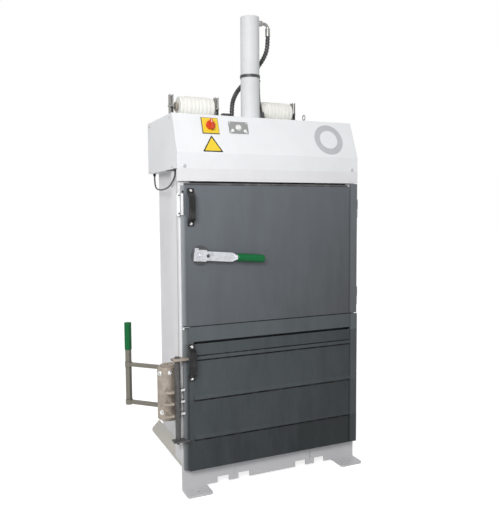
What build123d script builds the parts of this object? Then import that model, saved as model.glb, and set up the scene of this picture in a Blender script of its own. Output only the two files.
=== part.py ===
"""Upright recycling baler, in millimetres.

The origin is on the floor, midway between the two front floor bolts. +X points to the viewer's right,
+Y to the back and +Z up. The doors are on the front, their hinges on the right.
"""
import os
from math import atan2, cos, degrees, pi, radians, sin, tan

from build123d import *

# Overall frame
FRAME_WIDTH = 1070.0
FRAME_FACE_Y = 62.0
FRAME_TOP_Z = 1703.0
LINTEL_HEIGHT = 65.0
SHEET = 5.0
THIN_SHEET = 3.0

# Base
FOOT_PLATE = 12.0
FOOT_WIDTH = 138.0
FOOT_REACH = 99.0
FOOT_CORNER = 14.0
FOOT_HOLE_R = 7.0
PLINTH_PLATE = 8.0
PLINTH_NOTCH_INSET = 200.0
PLINTH_NOTCH_WIDTH = 191.0
PLINTH_NOTCH_TOP = 43.0
PLINTH_TAB_INSET = 67.0
PLINTH_TAB_WIDTH = 56.0
PLINTH_SLIT_WIDTH = 4.0
PLINTH_SLIT_TOP = 96.0
LEG_WIDTH = 90.0
LEG_DEPTH = 66.0
LEG_INSET = 3.0
BEAM_HEIGHT = 50.0
FLOOR_Z = 150.0
FLOOR_PLATE = 8.0
BASE_REACH = 82.0
SKIRT_BOTTOM_Z = 132.0
SKIRT_EDGE_Z = 152.0
SKIRT_TOP_Z = 197.0
REAR_FOOT_INSET = 100.0
REAR_FOOT_REACH = 60.0
REAR_FOOT_LAP = 18.0
REAR_BOLT_INSET = 50.0

# Bale chamber
POST_FACE = 60.0
POST_DEPTH = 118.0
POST_CORNER_R = 6.0
WALL_INSET = 45.0
WALL = 6.0
WALL_FRONT_Y = 100.0
CHAMBER_REAR_Y = 573.0
STRAP_CHANNELS = 4
STRAP_PITCH = 215.0
STRAP_RAIL_WIDTH = 70.0
STRAP_RAIL_HEIGHT = 22.0
STRAP_GAP = 14.0

# Hood
HOOD_OVERHANG = 10.0
HOOD_FACE_Y = 45.0
HOOD_FRONT_HEIGHT = 82.0
HOOD_SLOPE_RISE = 208.0
HOOD_TOP_FRONT_Y = 125.0
HOOD_REAR_LAP = 27.0
HOOD_FOLD_R = 6.0
SCREW_HEAD_R = 5.0
SCREW_HEAD = 3.0
HOOD_SCREW_INSET = 39.0
HOOD_SCREW_RISE = 12.0
SIDE_SCREW_DROP = 21.0
SIDE_SCREW_INSET = 85.0
TOP_SCREW_INSET = 40.0
REAR_SCREW_INSET = 35.0

# Cylinder and ram
CYLINDER_Y = 345.0
CYLINDER_R = 55.0
BORE_R = 42.0
ROD_R = 30.0
CYLINDER_RISE = 555.0
GLAND_HEIGHT = 42.0
FLANGE_R = 88.0
FLANGE = 20.0
HEAD_HEIGHT = 48.0
BAND_RISE = 257.0
BAND_HEIGHT = 16.0
BAND = 3.5
BOLT_HEAD_R = 9.5
BOLT_HEAD = 8.0
RUNNING_FIT = 0.06
PLATE_REST_DROP = 128.0
PLATE_THICKNESS = 20.0
PLATE_RIB_HEIGHT = 25.0
PLATE_RIB_INSET = 20.0
PISTON_GAP = 15.0
PISTON_HEIGHT = 40.0
PLATE_SIDE_GAP = 8.0
PLATE_BOSS_HEIGHT = 35.0

# Hoses and fittings
FITTING_X = -90.0
FITTING_BEHIND = 63.0
FITTING_RISE = 47.0
FITTING_BLOCK = (44.0, 34.0, 57.0)
FITTING_NECK = 20.0
FITTING_SWIVEL = 26.0
PORT_RISE = 22.0
ELBOW_ARC_R = 24.0
ELBOW_REACH = 60.0
FERRULE_LENGTH = 46.0
HOSE_R = 11.0
ELBOW_R = 9.0
FERRULE_R = 14.5
RETURN_HOSE_R = 5.5
RETURN_BEHIND = 9.0
RETURN_SHIFT = 18.0
RETURN_FORWARD = 12.0
CLIP_HALF_WIDTH = 9.0
CLIP_HEIGHT = 14.0
CABLE_R = 4.5

# Tape rolls
ROLL_R = 60.0
ROLL_BEHIND = 71.0
ROLL_RISE = 83.0
ROLL_ROD_R = 6.0
LEFT_BRACKET_INSET = 87.0
LEFT_BRACKET_CLEAR = 32.0
RIGHT_BRACKET_X = 46.0
BRACKET_GAP = 28.0
BRACKET_WIDTH = 20.0
BRACKET_DEPTH = 34.0
BRACKET_FOOT = 10.0
BRACKET_HEIGHT = 147.0
ROD_END = 8.0
GUIDE_OUTSET = 14.0
GUIDE_AHEAD = 45.0
GUIDE_RISE = 45.0
GUIDE_RING_R = 14.0
GUIDE_WIRE_R = 3.0
GUIDE_FOOT_R = 12.0

# Power pack and wiring box under the hood
TANK_LEFT_X = 150.0
TANK_INSET = 40.0
TANK_BEHIND = 50.0
TANK_REAR_GAP = 173.0
MOTOR_R = 46.0
MOTOR_LIFT = 6.0
MOTOR_ROOF_GAP = 19.0
PUMP_INSET = 20.0
PUMP_WIDTH = 40.0
PUMP_RISE = 30.0
WIRING_BOX_RIGHT_X = -180.0
WIRING_BOX_FRONT_Y = 200.0
WIRING_BOX_DEPTH = 140.0
WIRING_BOX_HEIGHT = 227.0

# Cable loop and glands
GLAND_LENGTH = 14.0
GLAND_R = 8.0
GLAND_GAP = 0.2
CABLE_REAR_INSET = 27.0
CABLE_FRONT_Y = 85.0
MAINS_GLAND_X = -350.0
MAINS_GLAND_RISE = 57.0
MAINS_GLAND_WALL = 4.0

# Safety switch
SWITCH_R = 9.0
SWITCH_OUTSET = 3.0
SWITCH_GAP = 0.3
SWITCH_TOP_DROP = 127.0
SWITCH_LENGTH = 116.0
SWITCH_CAP = 6.0

# Doors
DOOR_LEFT_INSET = 9.0
DOOR_RIGHT_INSET = 15.0
DOOR_BACK_Y = 60.0
UPPER_FACE_Y = 26.0
LOWER_FACE_Y = 20.0
DOOR_BOTTOM_Z = 119.0
DOOR_SPLIT_Z = 884.0
DOOR_SPLIT_GAP = 4.0
UPPER_TOP_DROP = 87.0
STILE_RISE = 18.0
STILE_WIDTH = 40.0
STILE_PROUD = 3.0
STILE_LAP = 9.0
STILE_GAP = 1.5
LINER = 4.0
DOOR_EDGE_R = 22.0
BEAD_INSET = 49.0
BEAD_HEIGHT = 21.0
BEAD_PROUD = 7.0
BEAD_LAND = 5.0
BEAD_GROOVE = (4.0, 3.5)
BEAD_BOTTOMS = (288.0, 500.0, 712.0)
SLOT_Z = 800.0
SLOT_HEIGHT = 13.0

# Hinges
HINGE_INSET = 3.0
HINGE_Y = 35.0
KNUCKLE_R = 8.0
KNUCKLE_HEIGHT = 50.0
PIN_R = 5.0
PIN_HEAD_R = 8.8
HINGE_GAP = 0.3
UPPER_HINGE_RISE = 51.0
UPPER_HINGE_DROP = 176.0
LOWER_HINGES_Z = (180.0, 760.0)
PIN_SEAT = 10.0

# Handles
UPPER_HANDLE_INSET = 42.0
LOWER_HANDLE_INSET = 35.0
HANDLE_LENGTH = 192.0
HANDLE_WIDTH = 33.0
HANDLE_REACH = 40.0
HANDLE_BAR = 14.0
HANDLE_FOOT = 26.0
HANDLE_END = 12.0
UPPER_HANDLE_DROP = 112.0
LOWER_HANDLE_Z = 700.0

# Upper latch
LATCH_INSET = 94.0
LATCH_ABOVE_MIDDLE = 5.0
LATCH_TILT = 4.5
LATCH_DISC_R = 50.0
LATCH_DISC = 8.0
SPINDLE_R = 12.0
LATCH_HEAD_LEFT = 42.0
LATCH_HEAD_RIGHT = 28.0
LATCH_HEAD_HEIGHT = 60.0
LATCH_EAR = 20.0
LATCH_EAR_LAP = 14.0
LATCH_EAR_PROUD = 8.0
LATCH_PIVOT_R = 10.0
LATCH_PIVOT_PROUD = 7.0
LATCH_BOLT_R = 8.0
LATCH_BOLT_PROUD = 5.0
LATCH_BOLT_INSET = 20.0
LATCH_BOLT_OFFSET = 13.5
LATCH_ARM_CORNER_R = 8.0
LATCH_PLATE = 12.0
LATCH_ARM_REACH = 165.0
LATCH_ARM_HEIGHT = 48.0
LATCH_NECK_HEIGHT = 22.0
LATCH_NECK = 31.0
LATCH_CORE_R = 8.0
GRIP_LENGTH = 158.0
GRIP_WALL = 20.0
GRIP_END_R = 9.0
GRIP_R = 21.0
TONGUE_LENGTH = 70.0
TONGUE_WIDTH = 30.0
TONGUE = 8.0

# Side lock
LOCK_OUTSET = 60.0
LOCK_Y = 120.0
HUB_R = 50.0
HUB_BOTTOM_Z = 390.3
HUB_TOP_Z = 672.0
LOCK_PIN_R = 10.0
LOCK_PIN_RISE = 6.0
HUB_BEVEL = 5.0
CARRIER = 8.0
CARRIER_R = 32.0
LOCK_ROD_OUTSET = 26.0
LOCK_ROD_Y = 42.0
LOCK_ROD_R = 14.0
LOCK_BRACKET_REACH = 17.0
LOCK_BRACKET_TAB = 20.0
LOCK_BRACKET_FRONT = 10.0
LOCK_ROD_BOTTOM_Z = 286.0
LOCK_ROD_TOP_Z = 732.0
LOCK_LUG_DEPTH = 18.0
LOCK_ROD_TAIL = 18.0
LOCK_ROD_TAIL_R = 7.0
CLAW_Z = (432.0, 496.0, 557.0)
CLAW = 12.0
CLAW_GAP = 1.5
CLAW_WIDTH = 13.0
CLAW_TURN = 24.0
CLAW_ROOT_LAP = 6.0
CLAW_ROOT_ANGLE = 12.0
CLAW_TIP_ANGLE = 3.0
LEVER_REACH = 232.0
LEVER_ANGLE = 135.0
LEVER_BAR = 24.0
LEVER_BOTTOM_Z = 447.0
LEVER_TOP_Z = 886.0
LEVER_ARM = 19.0
LEVER_ARMS_Z = (455.0, 661.0)
LEVER_COLLAR = 4.0
LEVER_COLLAR_R = 19.0
LOCK_GRIP_LENGTH = 147.0
LOCK_GRIP_WALL = 3.0
LOCK_GRIP_CORNER_R = 5.0

# Controls
SWITCH_INSET = 202.0
SWITCH_SLOPE = 157.0
SWITCH_PLATE = (90.0, 88.0)
KNOB_R = 25.0
CONTROL_INSET = 363.0
CONTROL_SLOPE = 153.0
CONTROL_PLATE = (112.0, 70.0)
LABEL_PLATE = 3.0
BUTTON_R = 13.0
BUTTON_PROUD = 8.0
BUTTON_DEPTH = 6.0
KNOB_SHAFT_R = 6.0

# Values worked out from the driving dimensions
half_frame = FRAME_WIDTH / 2
half_hood = half_frame + HOOD_OVERHANG
half_rear = half_frame - REAR_FOOT_INSET
base_rear_y = CHAMBER_REAR_Y + BASE_REACH
hood_rear_y = CHAMBER_REAR_Y + HOOD_REAR_LAP
wall_x = half_frame - WALL_INSET
lintel_z = FRAME_TOP_Z - LINTEL_HEIGHT
floor_top = FLOOR_Z + FLOOR_PLATE
crease_z = FRAME_TOP_Z + HOOD_FRONT_HEIGHT
hood_top_z = crease_z + HOOD_SLOPE_RISE
slope_run = HOOD_TOP_FRONT_Y - HOOD_FACE_Y
slope_length = (slope_run**2 + HOOD_SLOPE_RISE**2) ** 0.5
slope_normal = (0, -HOOD_SLOPE_RISE / slope_length, slope_run / slope_length)
cylinder_top_z = hood_top_z + CYLINDER_RISE
band_z = hood_top_z + BAND_RISE
port_z = cylinder_top_z + PORT_RISE
plate_rest_z = FRAME_TOP_Z - PLATE_REST_DROP
door_left_x = DOOR_LEFT_INSET - half_frame
door_right_x = half_frame - DOOR_RIGHT_INSET
upper_bottom_z = DOOR_SPLIT_Z + DOOR_SPLIT_GAP
upper_top_z = FRAME_TOP_Z - UPPER_TOP_DROP
hinge_x = half_frame - HINGE_INSET
upper_hinges_z = (DOOR_SPLIT_Z + UPPER_HINGE_RISE, upper_top_z - UPPER_HINGE_DROP)
latch_x = door_left_x + LATCH_INSET
latch_z = (DOOR_SPLIT_Z + upper_top_z) / 2 + LATCH_ABOVE_MIDDLE
lock_x = -half_frame - LOCK_OUTSET
lock_rod_x = -half_frame - LOCK_ROD_OUTSET
switch_x = SWITCH_INSET - half_hood
control_x = CONTROL_INSET - half_hood


def save(piece, label):
    """Label a finished piece and write its file."""
    piece.part.label = label
    export_step(piece.part, f"parts/{label}.step")


def block(x, y, z, mode=Mode.ADD):
    """A box given by its low and high x, y and z."""
    with Locations(((x[0] + x[1]) / 2, (y[0] + y[1]) / 2, (z[0] + z[1]) / 2)):
        Box(x[1] - x[0], y[1] - y[0], z[1] - z[0], mode=mode)


def upright(x, y, z, radius, mode=Mode.ADD):
    """A vertical cylinder from z[0] to z[1]."""
    with Locations((x, y, (z[0] + z[1]) / 2)):
        Cylinder(radius, z[1] - z[0], mode=mode)


def lying(x, y, z, radius, mode=Mode.ADD):
    """A cylinder along Y from y[0] to y[1]."""
    with Locations(Location((x, (y[0] + y[1]) / 2, z), (90, 0, 0))):
        Cylinder(radius, y[1] - y[0], mode=mode)


def across(x, y, z, radius, mode=Mode.ADD):
    """A cylinder along X from x[0] to x[1]."""
    with Locations(Location(((x[0] + x[1]) / 2, y, z), (0, 90, 0))):
        Cylinder(radius, x[1] - x[0], mode=mode)


def front_plane(y):
    """The X, Z plane at depth y; a negative extrusion goes back."""
    return Plane.XZ.offset(-y)


def on_slope(x, along, lift=0.0):
    """A plane on the hood's slope, at a distance up from the crease and lifted off the sheet."""
    y = HOOD_FACE_Y + slope_run * along / slope_length
    z = crease_z + HOOD_SLOPE_RISE * along / slope_length
    origin = (x, y + slope_normal[1] * lift, z + slope_normal[2] * lift)
    return Plane(origin=origin, x_dir=(1, 0, 0), z_dir=slope_normal)


def bend_radii(points):
    """Radii as large as the runs allow: 0.45 of the shorter run over the tangent of half the turn."""
    radii = []
    for before, at, after in zip(points, points[1:], points[2:]):
        first = Vector(*at) - Vector(*before)
        second = Vector(*after) - Vector(*at)
        turn = radians(first.get_angle(second))
        radii.append(0.45 * min(first.length, second.length) / tan(turn / 2))
    return radii


def tube_along(points, radius):
    """Sweep a round section along straight runs joined by tangent arcs, inside a BuildPart."""
    radii = bend_radii(points)
    with BuildLine() as route:
        FilletPolyline(*points, radius=radii)
    with BuildSketch(Plane(origin=route.line @ 0, z_dir=route.line % 0)) as section:
        Circle(radius)
    sweep(section.sketch, path=route.line)
    return sum(edge.length for edge in route.edges()), radii


os.makedirs("parts", exist_ok=True)

# Front plinth: one notched plate with a foot lip at each end
notch_out_x = half_frame - PLINTH_NOTCH_INSET
notch_in_x = notch_out_x - PLINTH_NOTCH_WIDTH
tab_out_x = notch_out_x - PLINTH_TAB_INSET
tab_in_x = tab_out_x - PLINTH_TAB_WIDTH
plinth_half_outline = (
    (0, SKIRT_EDGE_Z),
    (half_frame, SKIRT_EDGE_Z),
    (half_frame, FOOT_PLATE),
    (notch_out_x, FOOT_PLATE),
    (notch_out_x, PLINTH_NOTCH_TOP),
    (tab_out_x, PLINTH_NOTCH_TOP),
    (tab_out_x, FOOT_PLATE),
    (tab_in_x, FOOT_PLATE),
    (tab_in_x, PLINTH_NOTCH_TOP),
    (notch_in_x, PLINTH_NOTCH_TOP),
    (notch_in_x, FOOT_PLATE),
    (0, FOOT_PLATE),
)
foot_back_y = FRAME_FACE_Y + PLINTH_PLATE
foot_front_y = FRAME_FACE_Y - FOOT_REACH
foot_mid_x = half_frame - FOOT_WIDTH / 2
slit_mid_x = (tab_in_x + tab_out_x) / 2
with BuildPart() as front_plinth:
    with BuildSketch(front_plane(FRAME_FACE_Y)):
        with BuildLine():
            Polyline(*plinth_half_outline, close=True)
        make_face()
        mirror(about=Plane.YZ)
    extrude(amount=-PLINTH_PLATE)
    with BuildSketch(Plane.XY):
        with Locations(
            (-foot_mid_x, (foot_front_y + foot_back_y) / 2), (foot_mid_x, (foot_front_y + foot_back_y) / 2)
        ):
            Rectangle(FOOT_WIDTH, foot_back_y - foot_front_y)
    extrude(amount=FOOT_PLATE)
    front_corners = front_plinth.edges().filter_by(Axis.Z).filter_by_position(
        Axis.Y, foot_front_y - 1, foot_front_y + 1
    )
    fillet(front_corners, FOOT_CORNER)
    for side in (-1, 1):
        slit_x = side * slit_mid_x
        block(
            (slit_x - PLINTH_SLIT_WIDTH / 2, slit_x + PLINTH_SLIT_WIDTH / 2),
            (FRAME_FACE_Y - 1, foot_back_y + 1),
            (PLINTH_NOTCH_TOP + 2, PLINTH_SLIT_TOP),
            mode=Mode.SUBTRACT,
        )
        upright(side * foot_mid_x, 0, (-1, FOOT_PLATE + 1), FOOT_HOLE_R, mode=Mode.SUBTRACT)
save(front_plinth, "front_plinth")

# Rear plinth: a narrower plate with two foot lips that point back
rear_face_y = base_rear_y - PLINTH_PLATE
rear_foot_front_y = rear_face_y - LEG_DEPTH - REAR_FOOT_LAP
rear_foot_back_y = base_rear_y + REAR_FOOT_REACH
rear_bolt_y = base_rear_y + REAR_FOOT_REACH / 2
with BuildPart() as rear_plinth:
    block((-half_rear, half_rear), (rear_face_y, base_rear_y), (PLINTH_NOTCH_TOP, FLOOR_Z))
    for side in (-1, 1):
        near, far = side * (half_rear - FOOT_WIDTH), side * half_rear
        foot_x = (min(near, far), max(near, far))
        block(foot_x, (rear_face_y, base_rear_y), (FOOT_PLATE, PLINTH_NOTCH_TOP))
        block(foot_x, (rear_foot_front_y, rear_foot_back_y), (0, FOOT_PLATE))
    rear_corners = rear_plinth.edges().filter_by(Axis.Z).filter_by_position(
        Axis.Y, rear_foot_back_y - 1, rear_foot_back_y + 1
    )
    fillet(rear_corners, FOOT_CORNER)
    for side in (-1, 1):
        bolt_x = side * (half_rear - REAR_BOLT_INSET)
        upright(bolt_x, rear_bolt_y, (-1, FOOT_PLATE + 1), FOOT_HOLE_R, mode=Mode.SUBTRACT)
save(rear_plinth, "rear_plinth")

# Legs: four short box sections on the foot plates
leg_top = FLOOR_Z - BEAM_HEIGHT
front_leg_y = foot_back_y + LEG_DEPTH / 2
rear_leg_y = rear_face_y - LEG_DEPTH / 2
front_leg_x = wall_x - LEG_INSET - LEG_WIDTH / 2
rear_leg_x = half_rear - FOOT_WIDTH + LEG_WIDTH / 2
with BuildPart() as legs:
    for leg_x, leg_y in ((front_leg_x, front_leg_y), (rear_leg_x, rear_leg_y)):
        for side in (-1, 1):
            with BuildSketch(Plane.XY.offset(FOOT_PLATE if leg_y == rear_leg_y else 0)):
                with Locations((side * leg_x, leg_y)):
                    Rectangle(LEG_WIDTH, LEG_DEPTH)
                    Rectangle(LEG_WIDTH - 2 * WALL, LEG_DEPTH - 2 * WALL, mode=Mode.SUBTRACT)
            extrude(amount=leg_top - (FOOT_PLATE if leg_y == rear_leg_y else 0))
save(legs, "legs")

# Cross beams: two box tubes under the floor
with BuildPart() as cross_beams:
    for beam_front_y in (foot_back_y, rear_face_y - LEG_DEPTH):
        block((-wall_x, wall_x), (beam_front_y, beam_front_y + LEG_DEPTH), (leg_top, FLOOR_Z))
        block(
            (-wall_x - 1, wall_x + 1),
            (beam_front_y + SHEET, beam_front_y + LEG_DEPTH - SHEET),
            (leg_top + SHEET, FLOOR_Z - SHEET),
            mode=Mode.SUBTRACT,
        )
save(cross_beams, "cross_beams")

# Floor plate with raised strap rails, each with a channel along its middle
strap_xs = [(i - (STRAP_CHANNELS - 1) / 2) * STRAP_PITCH for i in range(STRAP_CHANNELS)]
rail_front_y = WALL_FRONT_Y + WALL
rail_rear_y = CHAMBER_REAR_Y - WALL - 1
with BuildPart() as floor_plate:
    block((-wall_x, wall_x), (foot_back_y, rear_face_y), (FLOOR_Z, floor_top))
    for strap_x in strap_xs:
        block(
            (strap_x - STRAP_RAIL_WIDTH / 2, strap_x + STRAP_RAIL_WIDTH / 2),
            (rail_front_y, rail_rear_y),
            (floor_top, floor_top + STRAP_RAIL_HEIGHT),
        )
        block(
            (strap_x - STRAP_GAP / 2, strap_x + STRAP_GAP / 2),
            (rail_front_y - 1, rail_rear_y + 1),
            (floor_top + SHEET, floor_top + STRAP_RAIL_HEIGHT + 1),
            mode=Mode.SUBTRACT,
        )
save(floor_plate, "floor_plate")

# Side skirts: an upright edge strip, and behind the post a plate that slopes in to the wall
skirt_inner_x = half_frame - THIN_SHEET
post_rear_y = FRAME_FACE_Y + POST_DEPTH
skirt_outline = (
    (half_frame, SKIRT_BOTTOM_Z),
    (half_frame, SKIRT_EDGE_Z),
    (wall_x, SKIRT_TOP_Z),
    (wall_x, SKIRT_TOP_Z - 2 * THIN_SHEET),
    (skirt_inner_x, SKIRT_EDGE_Z - THIN_SHEET),
    (skirt_inner_x, SKIRT_BOTTOM_Z),
)
skirt_end_outline = skirt_outline[:3] + ((wall_x, SKIRT_BOTTOM_Z),)
for side, label in ((-1, "skirt_left"), (1, "skirt_right")):
    with BuildPart() as skirt:
        with BuildSketch(front_plane(post_rear_y)):
            with BuildLine():
                Polyline(*[(side * x, z) for x, z in skirt_outline], close=True)
            make_face()
        extrude(amount=-(base_rear_y - post_rear_y))
        for end_y in (post_rear_y, base_rear_y - THIN_SHEET):
            with BuildSketch(front_plane(end_y)):
                with BuildLine():
                    Polyline(*[(side * x, z) for x, z in skirt_end_outline], close=True)
                make_face()
            extrude(amount=-THIN_SHEET)
        strip_x = sorted((side * skirt_inner_x, side * half_frame))
        block(strip_x, (foot_back_y, post_rear_y), (SKIRT_BOTTOM_Z, SKIRT_EDGE_Z))
    save(skirt, label)

# Front posts: folded sheet with a front face, a deep side and a return to the wall
post_outline = (
    (half_frame - POST_FACE, FRAME_FACE_Y),
    (half_frame, FRAME_FACE_Y),
    (half_frame, post_rear_y),
    (wall_x, post_rear_y),
    (wall_x, post_rear_y - SHEET),
    (half_frame - SHEET, post_rear_y - SHEET),
    (half_frame - SHEET, FRAME_FACE_Y + SHEET),
    (half_frame - POST_FACE, FRAME_FACE_Y + SHEET),
)
for side, label in ((-1, "post_left"), (1, "post_right")):
    with BuildPart() as post:
        with BuildSketch(Plane.XY.offset(SKIRT_EDGE_Z)):
            with BuildLine():
                Polyline(*[(side * x, y) for x, y in post_outline], close=True)
            make_face()
        extrude(amount=FRAME_TOP_Z - SKIRT_EDGE_Z)
        outer_corner = post.edges().filter_by(Axis.Z).filter_by_position(
            Axis.Y, FRAME_FACE_Y - 1, FRAME_FACE_Y + 1
        ).sort_by(Axis.X)[-1 if side > 0 else 0]
        fillet(outer_corner, POST_CORNER_R)
    save(post, label)

# Side walls and rear wall of the bale chamber
for side, label in ((-1, "side_wall_left"), (1, "side_wall_right")):
    with BuildPart() as side_wall:
        wall_span = sorted((side * (wall_x - WALL), side * wall_x))
        block(wall_span, (WALL_FRONT_Y, CHAMBER_REAR_Y), (floor_top, lintel_z))
    save(side_wall, label)
chamber_half = wall_x - WALL
with BuildPart() as rear_wall:
    block((-chamber_half, chamber_half), (CHAMBER_REAR_Y - WALL, CHAMBER_REAR_Y), (floor_top, lintel_z))
save(rear_wall, "rear_wall")

# Cross head: a welded box that carries the cylinder
with BuildPart() as crosshead:
    block((-wall_x, wall_x), (WALL_FRONT_Y, CHAMBER_REAR_Y), (lintel_z, FRAME_TOP_Z))
    for side in (-1, 1):
        pocket_x = sorted((side * (FLANGE_R + 2 * WALL), side * (wall_x - 2 * WALL)))
        for pocket_y in (
            (WALL_FRONT_Y + 2 * WALL, CYLINDER_Y - WALL),
            (CYLINDER_Y + WALL, CHAMBER_REAR_Y - 2 * WALL),
        ):
            block(pocket_x, pocket_y, (lintel_z - 1, FRAME_TOP_Z - 2 * WALL), mode=Mode.SUBTRACT)
    upright(0, CYLINDER_Y, (lintel_z - 1, FRAME_TOP_Z + 1), ROD_R + WALL, mode=Mode.SUBTRACT)
save(crosshead, "crosshead")

# Lintel: a shallow channel across the posts, with closed ends
with BuildPart() as lintel:
    block((-half_hood, half_hood), (HOOD_FACE_Y, FRAME_FACE_Y), (lintel_z, FRAME_TOP_Z))
    block(
        (THIN_SHEET - half_hood, half_hood - THIN_SHEET),
        (HOOD_FACE_Y + SHEET, FRAME_FACE_Y + 1),
        (lintel_z + SHEET, FRAME_TOP_Z - SHEET),
        mode=Mode.SUBTRACT,
    )
    block(
        (POST_FACE - half_frame, half_frame - POST_FACE),
        (HOOD_FACE_Y + SHEET, WALL_FRONT_Y),
        (lintel_z, lintel_z + SHEET),
    )
save(lintel, "lintel")

# Hood cover: one folded sheet, with front, slope, roof and back
hood_outline = (
    (HOOD_FACE_Y, FRAME_TOP_Z),
    (HOOD_FACE_Y, crease_z),
    (HOOD_TOP_FRONT_Y, hood_top_z),
    (hood_rear_y, hood_top_z),
    (hood_rear_y, FRAME_TOP_Z),
)
half_cover = half_hood - THIN_SHEET
with BuildPart() as hood_cover:
    with BuildSketch(Plane.YZ.offset(-half_cover)):
        with BuildLine():
            FilletPolyline(*hood_outline, radius=HOOD_FOLD_R)
            offset(amount=THIN_SHEET, side=Side.RIGHT)
        make_face()
    extrude(amount=2 * half_cover)
    upright(0, CYLINDER_Y, (hood_top_z - 20, hood_top_z + 20), CYLINDER_R + 1.5, mode=Mode.SUBTRACT)
    with BuildSketch(on_slope(control_x, CONTROL_SLOPE, 5)):
        Circle(BUTTON_R + 1)
    extrude(amount=-15, mode=Mode.SUBTRACT)
    with BuildSketch(on_slope(switch_x, SWITCH_SLOPE, 5)):
        Circle(KNOB_SHAFT_R + 1)
    extrude(amount=-15, mode=Mode.SUBTRACT)
save(hood_cover, "hood_cover")

# Hood side panels, each with a bottom flange that closes the overhang beside the wall
for side, label in ((-1, "hood_side_left"), (1, "hood_side_right")):
    with BuildPart() as hood_side:
        with BuildSketch(Plane.YZ.offset(half_cover if side > 0 else -half_hood)):
            with BuildLine():
                Polyline(*hood_outline, close=True)
            make_face()
        extrude(amount=THIN_SHEET)
        flange_x = sorted((side * wall_x, side * half_cover))
        block(flange_x, (post_rear_y, hood_rear_y - THIN_SHEET), (FRAME_TOP_Z, FRAME_TOP_Z + THIN_SHEET))
    save(hood_side, label)

# Cover screws, two on the front and four on each side
hood_screw_z = FRAME_TOP_Z + HOOD_SCREW_RISE
top_screw_z = hood_top_z - SIDE_SCREW_DROP
front_screw_y = HOOD_FACE_Y + SIDE_SCREW_INSET
top_screw_y = HOOD_TOP_FRONT_Y + TOP_SCREW_INSET
rear_screw_y = hood_rear_y - REAR_SCREW_INSET
side_screws = (
    (front_screw_y, hood_screw_z),
    (rear_screw_y, hood_screw_z),
    (top_screw_y, top_screw_z),
    (rear_screw_y, top_screw_z),
)
with BuildPart() as hood_screws:
    for side in (-1, 1):
        front_screw_x = side * (half_hood - HOOD_SCREW_INSET)
        lying(front_screw_x, (HOOD_FACE_Y - SCREW_HEAD, HOOD_FACE_Y), hood_screw_z, SCREW_HEAD_R)
        head_x = sorted((side * half_hood, side * (half_hood + SCREW_HEAD)))
        for screw_y, screw_z in side_screws:
            across(head_x, screw_y, screw_z, SCREW_HEAD_R)
save(hood_screws, "hood_screws")

# Cylinder tube with its foot flange and gland
flange_top = FRAME_TOP_Z + FLANGE
with BuildPart() as cylinder_tube:
    upright(0, CYLINDER_Y, (FRAME_TOP_Z, cylinder_top_z), CYLINDER_R)
    upright(0, CYLINDER_Y, (FRAME_TOP_Z, flange_top), FLANGE_R)
    upright(0, CYLINDER_Y, (FRAME_TOP_Z + GLAND_HEIGHT, cylinder_top_z + 1), BORE_R, mode=Mode.SUBTRACT)
    upright(
        0, CYLINDER_Y, (FRAME_TOP_Z - 1, flange_top + GLAND_HEIGHT), ROD_R + RUNNING_FIT, mode=Mode.SUBTRACT
    )
save(cylinder_tube, "cylinder_tube")

# Cylinder head with the port boss on its right side
port_face_x = CYLINDER_R + 6
with BuildPart() as cylinder_head:
    upright(0, CYLINDER_Y, (cylinder_top_z, cylinder_top_z + HEAD_HEIGHT), CYLINDER_R)
    chamfer(cylinder_head.edges().group_by(Axis.Z)[-1], 1.5)
    across((0, port_face_x), CYLINDER_Y, port_z, FERRULE_R)
save(cylinder_head, "cylinder_head")

with BuildPart() as cylinder_band:
    upright(0, CYLINDER_Y, (band_z, band_z + BAND_HEIGHT), CYLINDER_R + BAND)
    upright(0, CYLINDER_Y, (band_z - 1, band_z + BAND_HEIGHT + 1), CYLINDER_R, mode=Mode.SUBTRACT)
save(cylinder_band, "cylinder_band")

# Bolts: six on the foot flange
with BuildPart() as frame_bolts:
    with BuildSketch(Plane.XY.offset(flange_top)):
        with Locations((0, CYLINDER_Y)):
            with PolarLocations((CYLINDER_R + FLANGE_R) / 2, 6, 45):
                RegularPolygon(BOLT_HEAD_R, 6)
    extrude(amount=BOLT_HEAD)
save(frame_bolts, "frame_bolts")

# Hose elbow: nut, bent tube and crimped ferrule in one fitting
elbow_x = CYLINDER_R + ELBOW_REACH
ferrule_top = port_z - ELBOW_ARC_R
ferrule_bottom = ferrule_top - FERRULE_LENGTH
with BuildPart() as hose_elbow:
    with BuildSketch(Plane.YZ.offset(port_face_x)):
        with Locations((CYLINDER_Y, port_z)):
            RegularPolygon(FERRULE_R + 2, 6)
    extrude(amount=16)
    with BuildLine() as elbow_route:
        FilletPolyline(
            (port_face_x + 8, CYLINDER_Y, port_z),
            (elbow_x, CYLINDER_Y, port_z),
            (elbow_x, CYLINDER_Y, ferrule_top - 5),
            radius=ELBOW_ARC_R,
        )
    with BuildSketch(Plane(origin=elbow_route.line @ 0, z_dir=elbow_route.line % 0)):
        Circle(ELBOW_R)
    sweep(path=elbow_route.line)
    upright(elbow_x, CYLINDER_Y, (ferrule_bottom, ferrule_top), FERRULE_R)
save(hose_elbow, "hose_elbow")

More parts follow.
